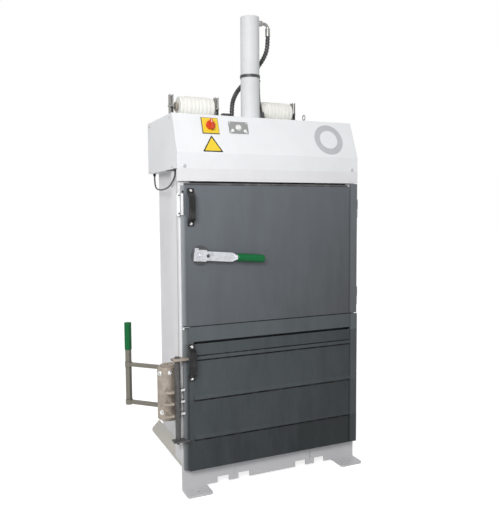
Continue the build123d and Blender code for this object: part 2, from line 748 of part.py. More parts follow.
# Top hose: from the ferrule, behind the cylinder, down to the roof fitting on the left
fitting_y = CYLINDER_Y + FITTING_BEHIND
hose_end_z = hood_top_z + FITTING_RISE
hose_drop = ferrule_bottom - hose_end_z
top_hose_points = [
    (elbow_x, CYLINDER_Y, ferrule_bottom),
    (elbow_x, CYLINDER_Y, hose_end_z + 0.865 * hose_drop),
    (elbow_x - 11, CYLINDER_Y + 23, hose_end_z + 0.752 * hose_drop),
    (elbow_x - 37, CYLINDER_Y + 56, hose_end_z + 0.643 * hose_drop),
    (elbow_x - 71, CYLINDER_Y + 77, hose_end_z + 0.535 * hose_drop),
    (elbow_x - 109, CYLINDER_Y + 87, hose_end_z + 0.439 * hose_drop),
    (FITTING_X + 56, CYLINDER_Y + 85, hose_end_z + 0.357 * hose_drop),
    (FITTING_X + 22, CYLINDER_Y + 74, hose_end_z + 0.254 * hose_drop),
    (FITTING_X, fitting_y, hose_end_z + 0.137 * hose_drop),
    (FITTING_X, fitting_y, hose_end_z),
]
with BuildPart() as top_hose:
    hose_length, hose_radii = tube_along(top_hose_points, HOSE_R)
save(top_hose, "top_hose")
hose_error = top_hose.part.volume / (pi * HOSE_R**2 * hose_length) - 1
print("top hose length", round(hose_length), "volume error", hose_error)
print("top hose radii", [round(r) for r in hose_radii])

# Roof fitting: manifold block with the hose's swivel elbow
block_right_x = FITTING_X - FITTING_NECK
block_left_x = block_right_x - FITTING_BLOCK[0]
with BuildPart() as roof_fitting:
    block(
        (block_left_x, block_right_x),
        (fitting_y - FITTING_BLOCK[1] / 2, fitting_y + FITTING_BLOCK[1] / 2),
        (hood_top_z, hood_top_z + FITTING_BLOCK[2]),
    )
    across((block_right_x - 2, FITTING_X), fitting_y, hose_end_z - FERRULE_R, ELBOW_R)
    upright(FITTING_X, fitting_y, (hose_end_z - FITTING_SWIVEL, hose_end_z), FERRULE_R)
save(roof_fitting, "roof_fitting")

# Return hose: clamped under the band, straight down the cylinder's right side, then out to the roof
return_x = CYLINDER_R + RETURN_HOSE_R + 1
return_y = CYLINDER_Y + RETURN_BEHIND
roof_x = return_x + RETURN_SHIFT
roof_y = return_y - RETURN_FORWARD
return_hose_points = [
    (return_x, return_y, band_z - 2),
    (return_x, return_y, hood_top_z + 119),
    (roof_x, roof_y, hood_top_z + 51),
    (roof_x, roof_y, hood_top_z),
]
with BuildPart() as return_hose:
    return_length, return_radii = tube_along(return_hose_points, RETURN_HOSE_R)
    block(
        (CYLINDER_R, return_x + RETURN_HOSE_R),
        (return_y - CLIP_HALF_WIDTH, return_y + CLIP_HALF_WIDTH),
        (band_z - CLIP_HEIGHT, band_z),
    )
save(return_hose, "return_hose")
print("return hose length", round(return_length), "radii", [round(r) for r in return_radii])

# Tape roll brackets: four uprights with an open slot for the rod
roll_y = CYLINDER_Y + ROLL_BEHIND
roll_z = hood_top_z + ROLL_RISE
bracket_top_z = hood_top_z + BRACKET_HEIGHT
left_brackets_x = (LEFT_BRACKET_INSET - half_hood, block_left_x - LEFT_BRACKET_CLEAR)
roll_length = left_brackets_x[1] - left_brackets_x[0] - 2 * BRACKET_GAP
bracket_offset = roll_length / 2 + BRACKET_GAP
roll_xs = (left_brackets_x[0] + bracket_offset, RIGHT_BRACKET_X + bracket_offset)
with BuildPart() as roll_brackets:
    for roll_x in roll_xs:
        for side in (-1, 1):
            bracket_x = roll_x + side * bracket_offset
            span_x = (bracket_x - BRACKET_WIDTH / 2, bracket_x + BRACKET_WIDTH / 2)
            span_y = (roll_y - BRACKET_DEPTH / 2, roll_y + BRACKET_DEPTH / 2)
            block(span_x, span_y, (hood_top_z, bracket_top_z))
            block(
                (span_x[0] - BRACKET_FOOT, span_x[1] + BRACKET_FOOT),
                (span_y[0], span_y[1] + BRACKET_FOOT),
                (hood_top_z, hood_top_z + SHEET),
            )
            wide_x = (span_x[0] - 1, span_x[1] + 1)
            slot_y = (roll_y - ROLL_ROD_R, roll_y + ROLL_ROD_R)
            block(wide_x, slot_y, (roll_z, bracket_top_z + 1), mode=Mode.SUBTRACT)
            across(wide_x, roll_y, roll_z, ROLL_ROD_R, mode=Mode.SUBTRACT)
            hollow_x = (span_x[0] + THIN_SHEET, span_x[1] - THIN_SHEET)
            hollow_y = (span_y[0] - 1, span_y[1] - THIN_SHEET)
            block(hollow_x, hollow_y, (hood_top_z + SHEET, bracket_top_z + 1), mode=Mode.SUBTRACT)
save(roll_brackets, "roll_brackets")

with BuildPart() as roll_rods:
    rod_reach = bracket_offset + BRACKET_WIDTH / 2 + ROD_END
    for roll_x in roll_xs:
        across((roll_x - rod_reach, roll_x + rod_reach), roll_y, roll_z, ROLL_ROD_R)
save(roll_rods, "roll_rods")

for roll_x, label in zip(roll_xs, ("tape_roll_left", "tape_roll_right")):
    with BuildPart() as tape_roll:
        roll_span = (roll_x - roll_length / 2, roll_x + roll_length / 2)
        across(roll_span, roll_y, roll_z, ROLL_R)
        chamfer(tape_roll.edges(), 2)
        bore_x = (roll_span[0] - 1, roll_span[1] + 1)
        across(bore_x, roll_y, roll_z, ROLL_ROD_R + RUNNING_FIT, mode=Mode.SUBTRACT)
    save(tape_roll, label)

# Tape guide: a ring eye on a stem
guide_x = roll_xs[1] + bracket_offset + GUIDE_OUTSET
guide_y = CYLINDER_Y - GUIDE_AHEAD
guide_z = hood_top_z + GUIDE_RISE
with BuildPart() as tape_guide:
    with Locations(Location((guide_x, guide_y, guide_z), (0, 90, 0))):
        Torus(GUIDE_RING_R, GUIDE_WIRE_R)
    upright(guide_x, guide_y, (hood_top_z, guide_z - GUIDE_RING_R), GUIDE_WIRE_R + 1)
    upright(guide_x, guide_y, (hood_top_z, hood_top_z + SHEET), GUIDE_FOOT_R)
save(tape_guide, "tape_guide")

# Power pack: an open tank, closed by the plate that carries the motor
tank_x = (TANK_LEFT_X, wall_x - TANK_INSET)
tank_y = (WALL_FRONT_Y + TANK_BEHIND, CHAMBER_REAR_Y - TANK_REAR_GAP)
motor_z = hood_top_z - MOTOR_ROOF_GAP - MOTOR_R
tank_top = motor_z - MOTOR_R - MOTOR_LIFT - WALL
with BuildPart() as oil_tank:
    block(tank_x, tank_y, (FRAME_TOP_Z, tank_top))
    block(
        (tank_x[0] + THIN_SHEET, tank_x[1] - THIN_SHEET),
        (tank_y[0] + THIN_SHEET, tank_y[1] - THIN_SHEET),
        (FRAME_TOP_Z + THIN_SHEET, tank_top + 1),
        mode=Mode.SUBTRACT,
    )
save(oil_tank, "oil_tank")

motor_y = (tank_y[0] + tank_y[1]) / 2
pump_x = (tank_x[0] + PUMP_INSET, tank_x[0] + PUMP_INSET + PUMP_WIDTH)
motor_x = (pump_x[1], tank_x[1] - PUMP_WIDTH)
motor_foot_x = (motor_x[0] + MOTOR_LIFT, motor_x[1] - MOTOR_LIFT)
with BuildPart() as pump_motor:
    block(tank_x, tank_y, (tank_top, tank_top + WALL))
    across(motor_x, motor_y, motor_z, MOTOR_R)
    block(pump_x, (motor_y - PUMP_WIDTH, motor_y + PUMP_WIDTH), (tank_top + WALL, motor_z + PUMP_RISE))
    block(motor_foot_x, (motor_y - PUMP_RISE, motor_y + PUMP_RISE), (tank_top + WALL, motor_z))
save(pump_motor, "pump_motor")

# Electrical box, open to the front for the wiring
box_x = (-wall_x, WIRING_BOX_RIGHT_X)
box_y = (WIRING_BOX_FRONT_Y, WIRING_BOX_FRONT_Y + WIRING_BOX_DEPTH)
box_top = FRAME_TOP_Z + WIRING_BOX_HEIGHT
with BuildPart() as electrical_box:
    block(box_x, box_y, (FRAME_TOP_Z, box_top))
    block(
        (box_x[0] + THIN_SHEET, box_x[1] - THIN_SHEET),
        (box_y[0] - 1, box_y[1] - THIN_SHEET),
        (FRAME_TOP_Z + THIN_SHEET, box_top - THIN_SHEET),
        mode=Mode.SUBTRACT,
    )
save(electrical_box, "electrical_box")

# Cable loop under the left side of the hood, hanging between two glands
cable_x = -(wall_x + half_cover) / 2
cable_out_x = -half_frame - GLAND_R - GLAND_GAP
cable_rear_y = hood_rear_y - CABLE_REAR_INSET
side_cable_points = [
    (cable_x, cable_rear_y, FRAME_TOP_Z),
    (cable_x, cable_rear_y, FRAME_TOP_Z - 39),
    (cable_x - 2, cable_rear_y - 20, FRAME_TOP_Z - 74),
    (cable_x - 6, cable_rear_y - 66, FRAME_TOP_Z - 91),
    (cable_x - 11, 434, FRAME_TOP_Z - 98),
    (cable_x - 16, 357, FRAME_TOP_Z - 100),
    (cable_x - 22, 280, FRAME_TOP_Z - 98),
    (cable_x - 28, 208, FRAME_TOP_Z - 92),
    (cable_x - 31, CABLE_FRONT_Y + 63, FRAME_TOP_Z - 79),
    (cable_x - 30, CABLE_FRONT_Y + 21, FRAME_TOP_Z - 57),
    (cable_out_x, CABLE_FRONT_Y, FRAME_TOP_Z - 32),
    (cable_out_x, CABLE_FRONT_Y, FRAME_TOP_Z),
]
with BuildPart() as side_cable:
    cable_length, cable_radii = tube_along(side_cable_points, CABLE_R)
save(side_cable, "side_cable")
cable_error = side_cable.part.volume / (pi * CABLE_R**2 * cable_length) - 1
print("cable length", round(cable_length), "volume error", cable_error)
print("cable radii", [round(r) for r in cable_radii])

mains_gland_z = FRAME_TOP_Z + MAINS_GLAND_RISE
mains_gland_y = (hood_rear_y, hood_rear_y + 2 * GLAND_LENGTH)
mains_bore_y = (hood_rear_y + 2, hood_rear_y + 3 * GLAND_LENGTH)
with BuildPart() as cable_glands:
    for cable_end in (side_cable_points[0], side_cable_points[-1]):
        upright(cable_end[0], cable_end[1], (FRAME_TOP_Z - GLAND_LENGTH, FRAME_TOP_Z), GLAND_R)
        upright(
            cable_end[0], cable_end[1], (lintel_z, FRAME_TOP_Z), CABLE_R + RUNNING_FIT, mode=Mode.SUBTRACT
        )
    lying(MAINS_GLAND_X, mains_gland_y, mains_gland_z, GLAND_R + MAINS_GLAND_WALL)
    lying(MAINS_GLAND_X, mains_bore_y, mains_gland_z, CABLE_R, mode=Mode.SUBTRACT)
save(cable_glands, "cable_glands")

# Safety switch: a slim upright housing at the outer edge of the left post
switch_body_x = -half_frame - SWITCH_OUTSET
switch_body_y = FRAME_FACE_Y - SWITCH_R - SWITCH_GAP
switch_top_z = FRAME_TOP_Z - SWITCH_TOP_DROP
switch_bottom_z = switch_top_z - SWITCH_LENGTH
with BuildPart() as safety_switch:
    upright(switch_body_x, switch_body_y, (switch_bottom_z, switch_top_z), SWITCH_R)
    block(
        (switch_body_x - SWITCH_R, switch_body_x + SWITCH_R),
        (switch_body_y, FRAME_FACE_Y),
        (switch_bottom_z + SWITCH_CAP, switch_top_z - SWITCH_CAP),
    )
save(safety_switch, "safety_switch")

# Frame knuckles: four lower hinge barrels on webs against the right post
all_hinges_z = LOWER_HINGES_Z + upper_hinges_z
with BuildPart() as frame_knuckles:
    for hinge_z in all_hinges_z:
        upright(hinge_x, HINGE_Y, (hinge_z, hinge_z + KNUCKLE_HEIGHT), KNUCKLE_R)
        block((hinge_x - 7, half_frame), (HINGE_Y, FRAME_FACE_Y), (hinge_z, hinge_z + KNUCKLE_HEIGHT))
        upright(
            hinge_x, HINGE_Y, (hinge_z + PIN_SEAT, hinge_z + KNUCKLE_HEIGHT + 1), PIN_R, mode=Mode.SUBTRACT
        )
save(frame_knuckles, "frame_knuckles")

# Hinge pins: stand in the frame knuckles and carry a round head over the door knuckles
with BuildPart() as hinge_pins:
    for hinge_z in all_hinges_z:
        head_z = hinge_z + 2 * KNUCKLE_HEIGHT + 2 * HINGE_GAP
        upright(hinge_x, HINGE_Y, (hinge_z + PIN_SEAT, head_z + 2), PIN_R)
        with Locations((hinge_x, HINGE_Y, head_z)):
            Sphere(PIN_HEAD_R)
        upright(hinge_x, HINGE_Y, (head_z - PIN_HEAD_R - 1, head_z), PIN_HEAD_R + 1, mode=Mode.SUBTRACT)
        upright(hinge_x, HINGE_Y, (hinge_z + PIN_SEAT, head_z + 2), PIN_R)
save(hinge_pins, "hinge_pins")


def door_pan(face_y, bottom_z, top_z, stile_top_z):
    """The pan of a door inside a BuildPart: skin with a rounded left fold, four flanges and the stile."""
    for inset, rear_y, low_z, high_z, mode in (
        (0, DOOR_BACK_Y - LINER, bottom_z, top_z, Mode.ADD),
        (SHEET, DOOR_BACK_Y, bottom_z + SHEET, top_z - SHEET, Mode.SUBTRACT),
    ):
        left_x, right_x, front_y = door_left_x + inset, door_right_x - inset, face_y + inset
        fold_r = DOOR_EDGE_R - inset
        with BuildSketch(Plane.XY.offset(low_z)) as pan:
            with BuildLine():
                Line((left_x, rear_y), (left_x, front_y + fold_r))
                RadiusArc((left_x, front_y + fold_r), (left_x + fold_r, front_y), fold_r)
                Polyline((left_x + fold_r, front_y), (right_x, front_y), (right_x, rear_y), (left_x, rear_y))
            make_face()
        extrude(pan.sketch, amount=high_z - low_z, mode=mode)
    block(
        (door_right_x - STILE_WIDTH, door_right_x),
        (face_y - STILE_PROUD, face_y + STILE_PROUD),
        (bottom_z, stile_top_z),
    )
    block(
        (door_right_x, door_right_x + STILE_LAP),
        (face_y - STILE_PROUD, HINGE_Y - KNUCKLE_R - STILE_GAP),
        (bottom_z, stile_top_z),
    )


def door_knuckles(hinges_z):
    """Upper hinge barrels with a web to the door's edge, inside a BuildPart."""
    for hinge_z in hinges_z:
        low = hinge_z + KNUCKLE_HEIGHT + HINGE_GAP
        high = hinge_z + 2 * KNUCKLE_HEIGHT + HINGE_GAP
        upright(hinge_x, HINGE_Y, (low, high), KNUCKLE_R)
        block((door_right_x - 1, hinge_x), (HINGE_Y - 4, HINGE_Y + 8), (low, high))
        upright(hinge_x, HINGE_Y, (low - 1, high + 1), PIN_R + RUNNING_FIT, mode=Mode.SUBTRACT)


# Upper door panel
with BuildPart() as upper_door_panel:
    door_pan(UPPER_FACE_Y, upper_bottom_z, upper_top_z, upper_top_z + STILE_RISE)
    door_knuckles(upper_hinges_z)
    lying(latch_x, (UPPER_FACE_Y - 1, DOOR_BACK_Y), latch_z, SPINDLE_R + 1, mode=Mode.SUBTRACT)
save(upper_door_panel, "upper_door_panel")

with BuildPart() as upper_door_liner:
    block((door_left_x, door_right_x), (DOOR_BACK_Y - LINER, DOOR_BACK_Y), (upper_bottom_z, upper_top_z))
    lying(latch_x, (UPPER_FACE_Y, DOOR_BACK_Y + 1), latch_z, SPINDLE_R + 1, mode=Mode.SUBTRACT)
save(upper_door_liner, "upper_door_liner")

# Lower door panel: beads with a sloped top and a sharp underside, and a slot through the skin
bead_left_x = door_left_x + BEAD_INSET
bead_right_x = door_right_x - STILE_WIDTH
with BuildPart() as lower_door_panel:
    door_pan(LOWER_FACE_Y, DOOR_BOTTOM_Z, DOOR_SPLIT_Z, DOOR_SPLIT_Z)
    door_knuckles(LOWER_HINGES_Z)
    for bead_z in BEAD_BOTTOMS:
        with BuildSketch(Plane.YZ.offset(bead_left_x)):
            with BuildLine():
                Polyline(
                    (LOWER_FACE_Y + 1, bead_z),
                    (LOWER_FACE_Y - BEAD_PROUD, bead_z),
                    (LOWER_FACE_Y - BEAD_PROUD, bead_z + BEAD_LAND),
                    (LOWER_FACE_Y, bead_z + BEAD_HEIGHT),
                    (LOWER_FACE_Y + 1, bead_z + BEAD_HEIGHT),
                    close=True,
                )
            make_face()
        extrude(amount=bead_right_x - bead_left_x)
        block(
            (bead_left_x, bead_right_x),
            (LOWER_FACE_Y - BEAD_PROUD - 1, LOWER_FACE_Y + BEAD_GROOVE[1]),
            (bead_z - BEAD_GROOVE[0], bead_z),
            mode=Mode.SUBTRACT,
        )
    block(
        (bead_left_x, bead_right_x),
        (LOWER_FACE_Y - 1, LOWER_FACE_Y + SHEET + 1),
        (SLOT_Z - SLOT_HEIGHT / 2, SLOT_Z + SLOT_HEIGHT / 2),
        mode=Mode.SUBTRACT,
    )
save(lower_door_panel, "lower_door_panel")

with BuildPart() as lower_door_liner:
    block((door_left_x, door_right_x), (DOOR_BACK_Y - LINER, DOOR_BACK_Y), (DOOR_BOTTOM_Z, DOOR_SPLIT_Z))
save(lower_door_liner, "lower_door_liner")

# Bridge handles, one on each door
half_handle = HANDLE_LENGTH / 2
grip_half = half_handle - HANDLE_FOOT - HANDLE_END
handle_half_outline = (
    (0, half_handle),
    (9, half_handle),
    (14, half_handle - HANDLE_FOOT + 4),
    (HANDLE_REACH, grip_half),
    (HANDLE_REACH, -grip_half),
    (14, HANDLE_FOOT - 4 - half_handle),
    (9, -half_handle),
    (0, -half_handle),
    (0, HANDLE_FOOT - half_handle),
    (HANDLE_REACH - HANDLE_BAR, HANDLE_END - grip_half),
    (HANDLE_REACH - HANDLE_BAR, grip_half - HANDLE_END),
    (0, half_handle - HANDLE_FOOT),
)
for handle_x, face_y, handle_z, label in (
    (door_left_x + UPPER_HANDLE_INSET, UPPER_FACE_Y, upper_top_z - UPPER_HANDLE_DROP, "upper_door_handle"),
    (door_left_x + LOWER_HANDLE_INSET, LOWER_FACE_Y, LOWER_HANDLE_Z, "lower_door_handle"),
):
    with BuildPart() as handle:
        with BuildSketch(Plane.YZ.offset(handle_x - HANDLE_WIDTH / 2)):
            with BuildLine():
                Polyline(*[(face_y - d, handle_z + z) for d, z in handle_half_outline], close=True)
            make_face()
        extrude(amount=HANDLE_WIDTH)
        long_edges = handle.edges().filter_by(Axis.Z).group_by(Axis.Y)[0]
        fillet(long_edges, 5)
    save(handle, label)

# Upper latch: a disc on the door, and the lever, grip and tongue that turn in it
disc_face_y = UPPER_FACE_Y - LATCH_DISC
with BuildPart() as latch_disc:
    lying(latch_x, (disc_face_y, UPPER_FACE_Y), latch_z, LATCH_DISC_R)
    chamfer(latch_disc.edges().group_by(Axis.Y)[0], 2)
    lying(latch_x, (disc_face_y - 1, UPPER_FACE_Y + 1), latch_z, SPINDLE_R + RUNNING_FIT, mode=Mode.SUBTRACT)
save(latch_disc, "latch_disc")

head_back_y = disc_face_y - HINGE_GAP
head_front_y = head_back_y - LATCH_PLATE
head_x = (latch_x - LATCH_HEAD_LEFT, latch_x + LATCH_HEAD_RIGHT)
half_head = LATCH_HEAD_HEIGHT / 2
half_arm = LATCH_ARM_HEIGHT / 2
arm_y = (head_front_y - LATCH_PLATE + 3, head_front_y)
lever_axis_y = (arm_y[0] + arm_y[1]) / 2
arm_end_x = latch_x + LATCH_ARM_REACH
grip_start_x = arm_end_x + LATCH_NECK
core_end_x = grip_start_x + GRIP_LENGTH - GRIP_WALL
latch_axis = Axis((latch_x, 0, latch_z), (0, 1, 0))

# Lever and grip: drawn level, then turned down to the angle that the released latch rests at
with BuildPart() as level_lever:
    block(head_x, (head_front_y, head_back_y), (latch_z - half_head, latch_z + half_head))
    block(
        (head_x[0], head_x[0] + LATCH_EAR),
        (head_front_y - LATCH_EAR_PROUD, head_back_y),
        (latch_z + half_head - LATCH_EAR_LAP, latch_z + half_head + LATCH_EAR_PROUD),
    )
    block((latch_x - 2 * SPINDLE_R, arm_end_x), arm_y, (latch_z - half_arm, latch_z + half_arm))
    across_edges = level_lever.edges().filter_by(Axis.Y)
    fillet(across_edges.filter_by_position(Axis.X, arm_end_x - 1, arm_end_x + 1), LATCH_ARM_CORNER_R)
    for bolt_z in (latch_z - LATCH_BOLT_OFFSET, latch_z + LATCH_BOLT_OFFSET):
        lying(head_x[1] + LATCH_BOLT_INSET, (arm_y[0] - LATCH_BOLT_PROUD, arm_y[1]), bolt_z, LATCH_BOLT_R)
    lying(latch_x - LATCH_BOLT_R, (arm_y[0] - LATCH_PIVOT_PROUD, arm_y[1]), latch_z, LATCH_PIVOT_R)
    across((arm_end_x - 4, grip_start_x), lever_axis_y, latch_z, LATCH_NECK_HEIGHT / 2)
    across((grip_start_x - 1, core_end_x), lever_axis_y, latch_z, LATCH_CORE_R)
with BuildPart() as latch_lever:
    add(level_lever.part.rotate(latch_axis, LATCH_TILT))
save(latch_lever, "latch_lever")

with BuildPart() as level_grip:
    across((grip_start_x, grip_start_x + GRIP_LENGTH), lever_axis_y, latch_z, GRIP_R)
    fillet(level_grip.edges(), GRIP_END_R)
    across((grip_start_x - 1, core_end_x), lever_axis_y, latch_z, LATCH_CORE_R, mode=Mode.SUBTRACT)
with BuildPart() as latch_grip:
    add(level_grip.part.rotate(latch_axis, LATCH_TILT))
save(latch_grip, "latch_grip")

tongue_front_y = FRAME_FACE_Y + SHEET + 2
with BuildPart() as latch_tongue:
    lying(latch_x, (head_back_y, tongue_front_y + TONGUE), latch_z, SPINDLE_R)
    block(
        (latch_x - TONGUE_WIDTH / 2, latch_x + TONGUE_WIDTH / 2),
        (tongue_front_y, tongue_front_y + TONGUE),
        (latch_z - TONGUE_LENGTH, latch_z + TONGUE_WIDTH / 2),
    )
save(latch_tongue, "latch_tongue")

# Lock rod on the lower door: the upright rod, two end brackets and three lugs to the door's edge
lug_y = (LOCK_ROD_Y - LOCK_LUG_DEPTH / 2, LOCK_ROD_Y + LOCK_LUG_DEPTH / 2)
with BuildPart() as lock_rod:
    upright(lock_rod_x, LOCK_ROD_Y, (LOCK_ROD_BOTTOM_Z, LOCK_ROD_TOP_Z), LOCK_ROD_R)
    for bracket_z in (LOCK_ROD_BOTTOM_Z + CARRIER, LOCK_ROD_TOP_Z - CARRIER):
        block(
            (lock_rod_x - LOCK_ROD_R - LOCK_BRACKET_REACH, door_left_x),
            (LOWER_FACE_Y - LOCK_BRACKET_FRONT, LOCK_ROD_Y + LOCK_ROD_R),
            (bracket_z - CARRIER, bracket_z),
        )
        block(
            (door_left_x, door_left_x + LOCK_BRACKET_TAB),
            (LOWER_FACE_Y - LOCK_BRACKET_FRONT, LOWER_FACE_Y),
            (bracket_z - CARRIER, bracket_z),
        )
    for claw_z in CLAW_Z:
        block((lock_rod_x, door_left_x), lug_y, (claw_z - CLAW / 2, claw_z + CLAW / 2))
    upright(lock_rod_x, LOCK_ROD_Y, (LOCK_ROD_BOTTOM_Z - LOCK_ROD_TAIL, LOCK_ROD_BOTTOM_Z), LOCK_ROD_TAIL_R)
save(lock_rod, "lock_rod")

# Lock carrier: two plates on the left post, with the pin that the hub turns on
with BuildPart() as lock_carrier:
    for plate_z in (HUB_BOTTOM_Z - HINGE_GAP - CARRIER, HUB_TOP_Z + HINGE_GAP):
        block((lock_x, -half_frame), (LOCK_Y - CARRIER_R, LOCK_Y + CARRIER_R), (plate_z, plate_z + CARRIER))
        upright(lock_x, LOCK_Y, (plate_z, plate_z + CARRIER), CARRIER_R)
    upright(lock_x, LOCK_Y, (HUB_BOTTOM_Z - CARRIER, HUB_TOP_Z + CARRIER + LOCK_PIN_RISE), LOCK_PIN_R)
save(lock_carrier, "lock_carrier")

# Lock hub with three claws. Drawn in the locked position, then turned back to the released one.
rod_dx, rod_dy = lock_rod_x - lock_x, LOCK_ROD_Y - LOCK_Y
rod_distance = (rod_dx**2 + rod_dy**2) ** 0.5
rod_angle = degrees(atan2(rod_dy, rod_dx))
claw_inner_r = rod_distance + LOCK_ROD_R + CLAW_GAP
claw_outer_r = claw_inner_r + CLAW_WIDTH
claw_clear = degrees(atan2(LOCK_ROD_R + 2 * CLAW_GAP, rod_distance))
claw_tip = rod_angle + CLAW_TIP_ANGLE - CLAW_TURN
claw_root = rod_angle - claw_clear - CLAW_TURN
claw_back = claw_root - CLAW_ROOT_ANGLE


def polar(radius, angle):
    """A point at an angle and distance from the lock's axis."""
    return (lock_x + radius * cos(radians(angle)), LOCK_Y + radius * sin(radians(angle)))


with BuildPart() as lock_hub:
    upright(lock_x, LOCK_Y, (HUB_BOTTOM_Z, HUB_TOP_Z), HUB_R)
    chamfer(lock_hub.edges().filter_by(GeomType.CIRCLE), HUB_BEVEL)
    for claw_z in CLAW_Z:
        with BuildSketch(Plane.XY.offset(claw_z - CLAW / 2)):
            with BuildLine():
                Line(polar(HUB_R - CLAW_ROOT_LAP, claw_root), polar(claw_inner_r, claw_root))
                ThreePointArc(
                    polar(claw_inner_r, claw_root),
                    polar(claw_inner_r, (claw_root + claw_tip) / 2),
                    polar(claw_inner_r, claw_tip),
                )
                Line(polar(claw_inner_r, claw_tip), polar(claw_outer_r, claw_tip))
                ThreePointArc(
                    polar(claw_outer_r, claw_tip),
                    polar(claw_outer_r, (claw_back + claw_tip) / 2),
                    polar(claw_outer_r, claw_back),
                )
                Line(polar(claw_outer_r, claw_back), polar(HUB_R - CLAW_ROOT_LAP, claw_back))
                Line(polar(HUB_R - CLAW_ROOT_LAP, claw_back), polar(HUB_R - CLAW_ROOT_LAP, claw_root))
            make_face()
        extrude(amount=CLAW)
    upright(lock_x, LOCK_Y, (HUB_BOTTOM_Z - 1, HUB_TOP_Z + 1), LOCK_PIN_R + RUNNING_FIT, mode=Mode.SUBTRACT)
save(lock_hub, "lock_hub")

# Lever frame: two arms out of the hub and the upright bar at their ends
bar_x, bar_y = polar(LEVER_REACH, LEVER_ANGLE)
half_collar = LEVER_ARM / 2 + LEVER_COLLAR
with BuildPart() as lever_frame:
    with BuildSketch(Plane.XY.offset(LEVER_BOTTOM_Z)):
        with Locations(Location((bar_x, bar_y), (0, 0, LEVER_ANGLE))):
            Rectangle(LEVER_BAR, LEVER_BAR)
    extrude(amount=LEVER_TOP_Z - LEVER_BOTTOM_Z)
    for arm_z in LEVER_ARMS_Z:
        arm_mid_x, arm_mid_y = polar((HUB_R + LEVER_REACH) / 2, LEVER_ANGLE)
        with BuildSketch(Plane.XY.offset(arm_z - LEVER_ARM / 2)):
            with Locations(Location((arm_mid_x, arm_mid_y), (0, 0, LEVER_ANGLE))):
                Rectangle(LEVER_REACH - HUB_R, LEVER_ARM)
        extrude(amount=LEVER_ARM)
        upright(bar_x, bar_y, (arm_z - half_collar, arm_z + half_collar), LEVER_COLLAR_R)
    upright(lock_x, LOCK_Y, (LEVER_BOTTOM_Z - 1, LEVER_TOP_Z), HUB_R, mode=Mode.SUBTRACT)
save(lever_frame, "lever_frame")

grip_side = LEVER_BAR + 2 * LOCK_GRIP_WALL
with BuildPart() as lever_grip:
    for side_length, mode, low, high in (
        (grip_side, Mode.ADD, LEVER_TOP_Z + LOCK_GRIP_WALL - LOCK_GRIP_LENGTH, LEVER_TOP_Z + LOCK_GRIP_WALL),
        (LEVER_BAR, Mode.SUBTRACT, LEVER_TOP_Z - LOCK_GRIP_LENGTH, LEVER_TOP_Z),
    ):
        with BuildSketch(Plane.XY.offset(low)):
            with Locations(Location((bar_x, bar_y), (0, 0, LEVER_ANGLE))):
                Rectangle(side_length, side_length)
        extrude(amount=high - low, mode=mode)
        if mode == Mode.ADD:
            fillet(lever_grip.edges().filter_by(Axis.Z), LOCK_GRIP_CORNER_R)
save(lever_grip, "lever_grip")

# Ram: piston rod with its piston, and the press plate with channels under and ribs over
plate_top = plate_rest_z + PLATE_THICKNESS
piston_top = cylinder_top_z - PISTON_GAP
with BuildPart() as piston_rod:
    upright(0, CYLINDER_Y, (plate_top, piston_top), ROD_R)
    upright(0, CYLINDER_Y, (piston_top - PISTON_HEIGHT, piston_top), BORE_R - RUNNING_FIT)
save(piston_rod, "piston_rod")

plate_half = chamber_half - PLATE_SIDE_GAP
plate_y = (WALL_FRONT_Y + PLATE_SIDE_GAP, CHAMBER_REAR_Y - WALL - PLATE_SIDE_GAP)
with BuildPart() as press_plate:
    block((-plate_half, plate_half), plate_y, (plate_rest_z, plate_top))
    for strap_x in strap_xs:
        block(
            (strap_x - STRAP_GAP, strap_x + STRAP_GAP),
            (plate_y[0] - 1, plate_y[1] + 1),
            (plate_rest_z - 1, plate_rest_z + PLATE_THICKNESS / 2),
            mode=Mode.SUBTRACT,
        )
    upright(0, CYLINDER_Y, (plate_top, plate_top + PLATE_BOSS_HEIGHT), ROD_R + 2 * WALL)
    rib_z = (plate_top, plate_top + PLATE_RIB_HEIGHT)
    block(
        (PLATE_RIB_INSET - plate_half, plate_half - PLATE_RIB_INSET),
        (CYLINDER_Y - WALL, CYLINDER_Y + WALL),
        rib_z,
    )
    for rib_x in (-plate_half / 2, 0, plate_half / 2):
        block(
            (rib_x - WALL, rib_x + WALL), (plate_y[0] + PLATE_RIB_INSET, plate_y[1] - PLATE_RIB_INSET), rib_z
        )
    upright(0, CYLINDER_Y, (plate_top, plate_top + PLATE_BOSS_HEIGHT + 1), ROD_R, mode=Mode.SUBTRACT)
save(press_plate, "press_plate")

# Main switch: yellow plate and the knob that turns on it
with BuildPart() as switch_plate:
    with BuildSketch(on_slope(switch_x, SWITCH_SLOPE)):
        Rectangle(*SWITCH_PLATE)
        Circle(KNOB_SHAFT_R + RUNNING_FIT, mode=Mode.SUBTRACT)
    extrude(amount=LABEL_PLATE)
save(switch_plate, "switch_plate")

knob_base = 10.0
knob_bar = 16.0
with BuildPart() as switch_knob:
    with BuildSketch(on_slope(switch_x, SWITCH_SLOPE, LABEL_PLATE + HINGE_GAP)):
        Circle(KNOB_R)
    extrude(amount=knob_base)
    with BuildSketch(on_slope(switch_x, SWITCH_SLOPE, LABEL_PLATE + HINGE_GAP + knob_base)):
        SlotOverall(2 * KNOB_R + 8, 15, rotation=90)
    extrude(amount=knob_bar)
    with BuildSketch(on_slope(switch_x, SWITCH_SLOPE, LABEL_PLATE + HINGE_GAP + 1)):
        Circle(KNOB_SHAFT_R)
    extrude(amount=-14)
save(switch_knob, "switch_knob")

# Control plate and its round push button
with BuildPart() as control_plate:
    with BuildSketch(on_slope(control_x, CONTROL_SLOPE)):
        RectangleRounded(*CONTROL_PLATE, 6)
        Circle(BUTTON_R + RUNNING_FIT, mode=Mode.SUBTRACT)
    extrude(amount=LABEL_PLATE)
save(control_plate, "control_plate")

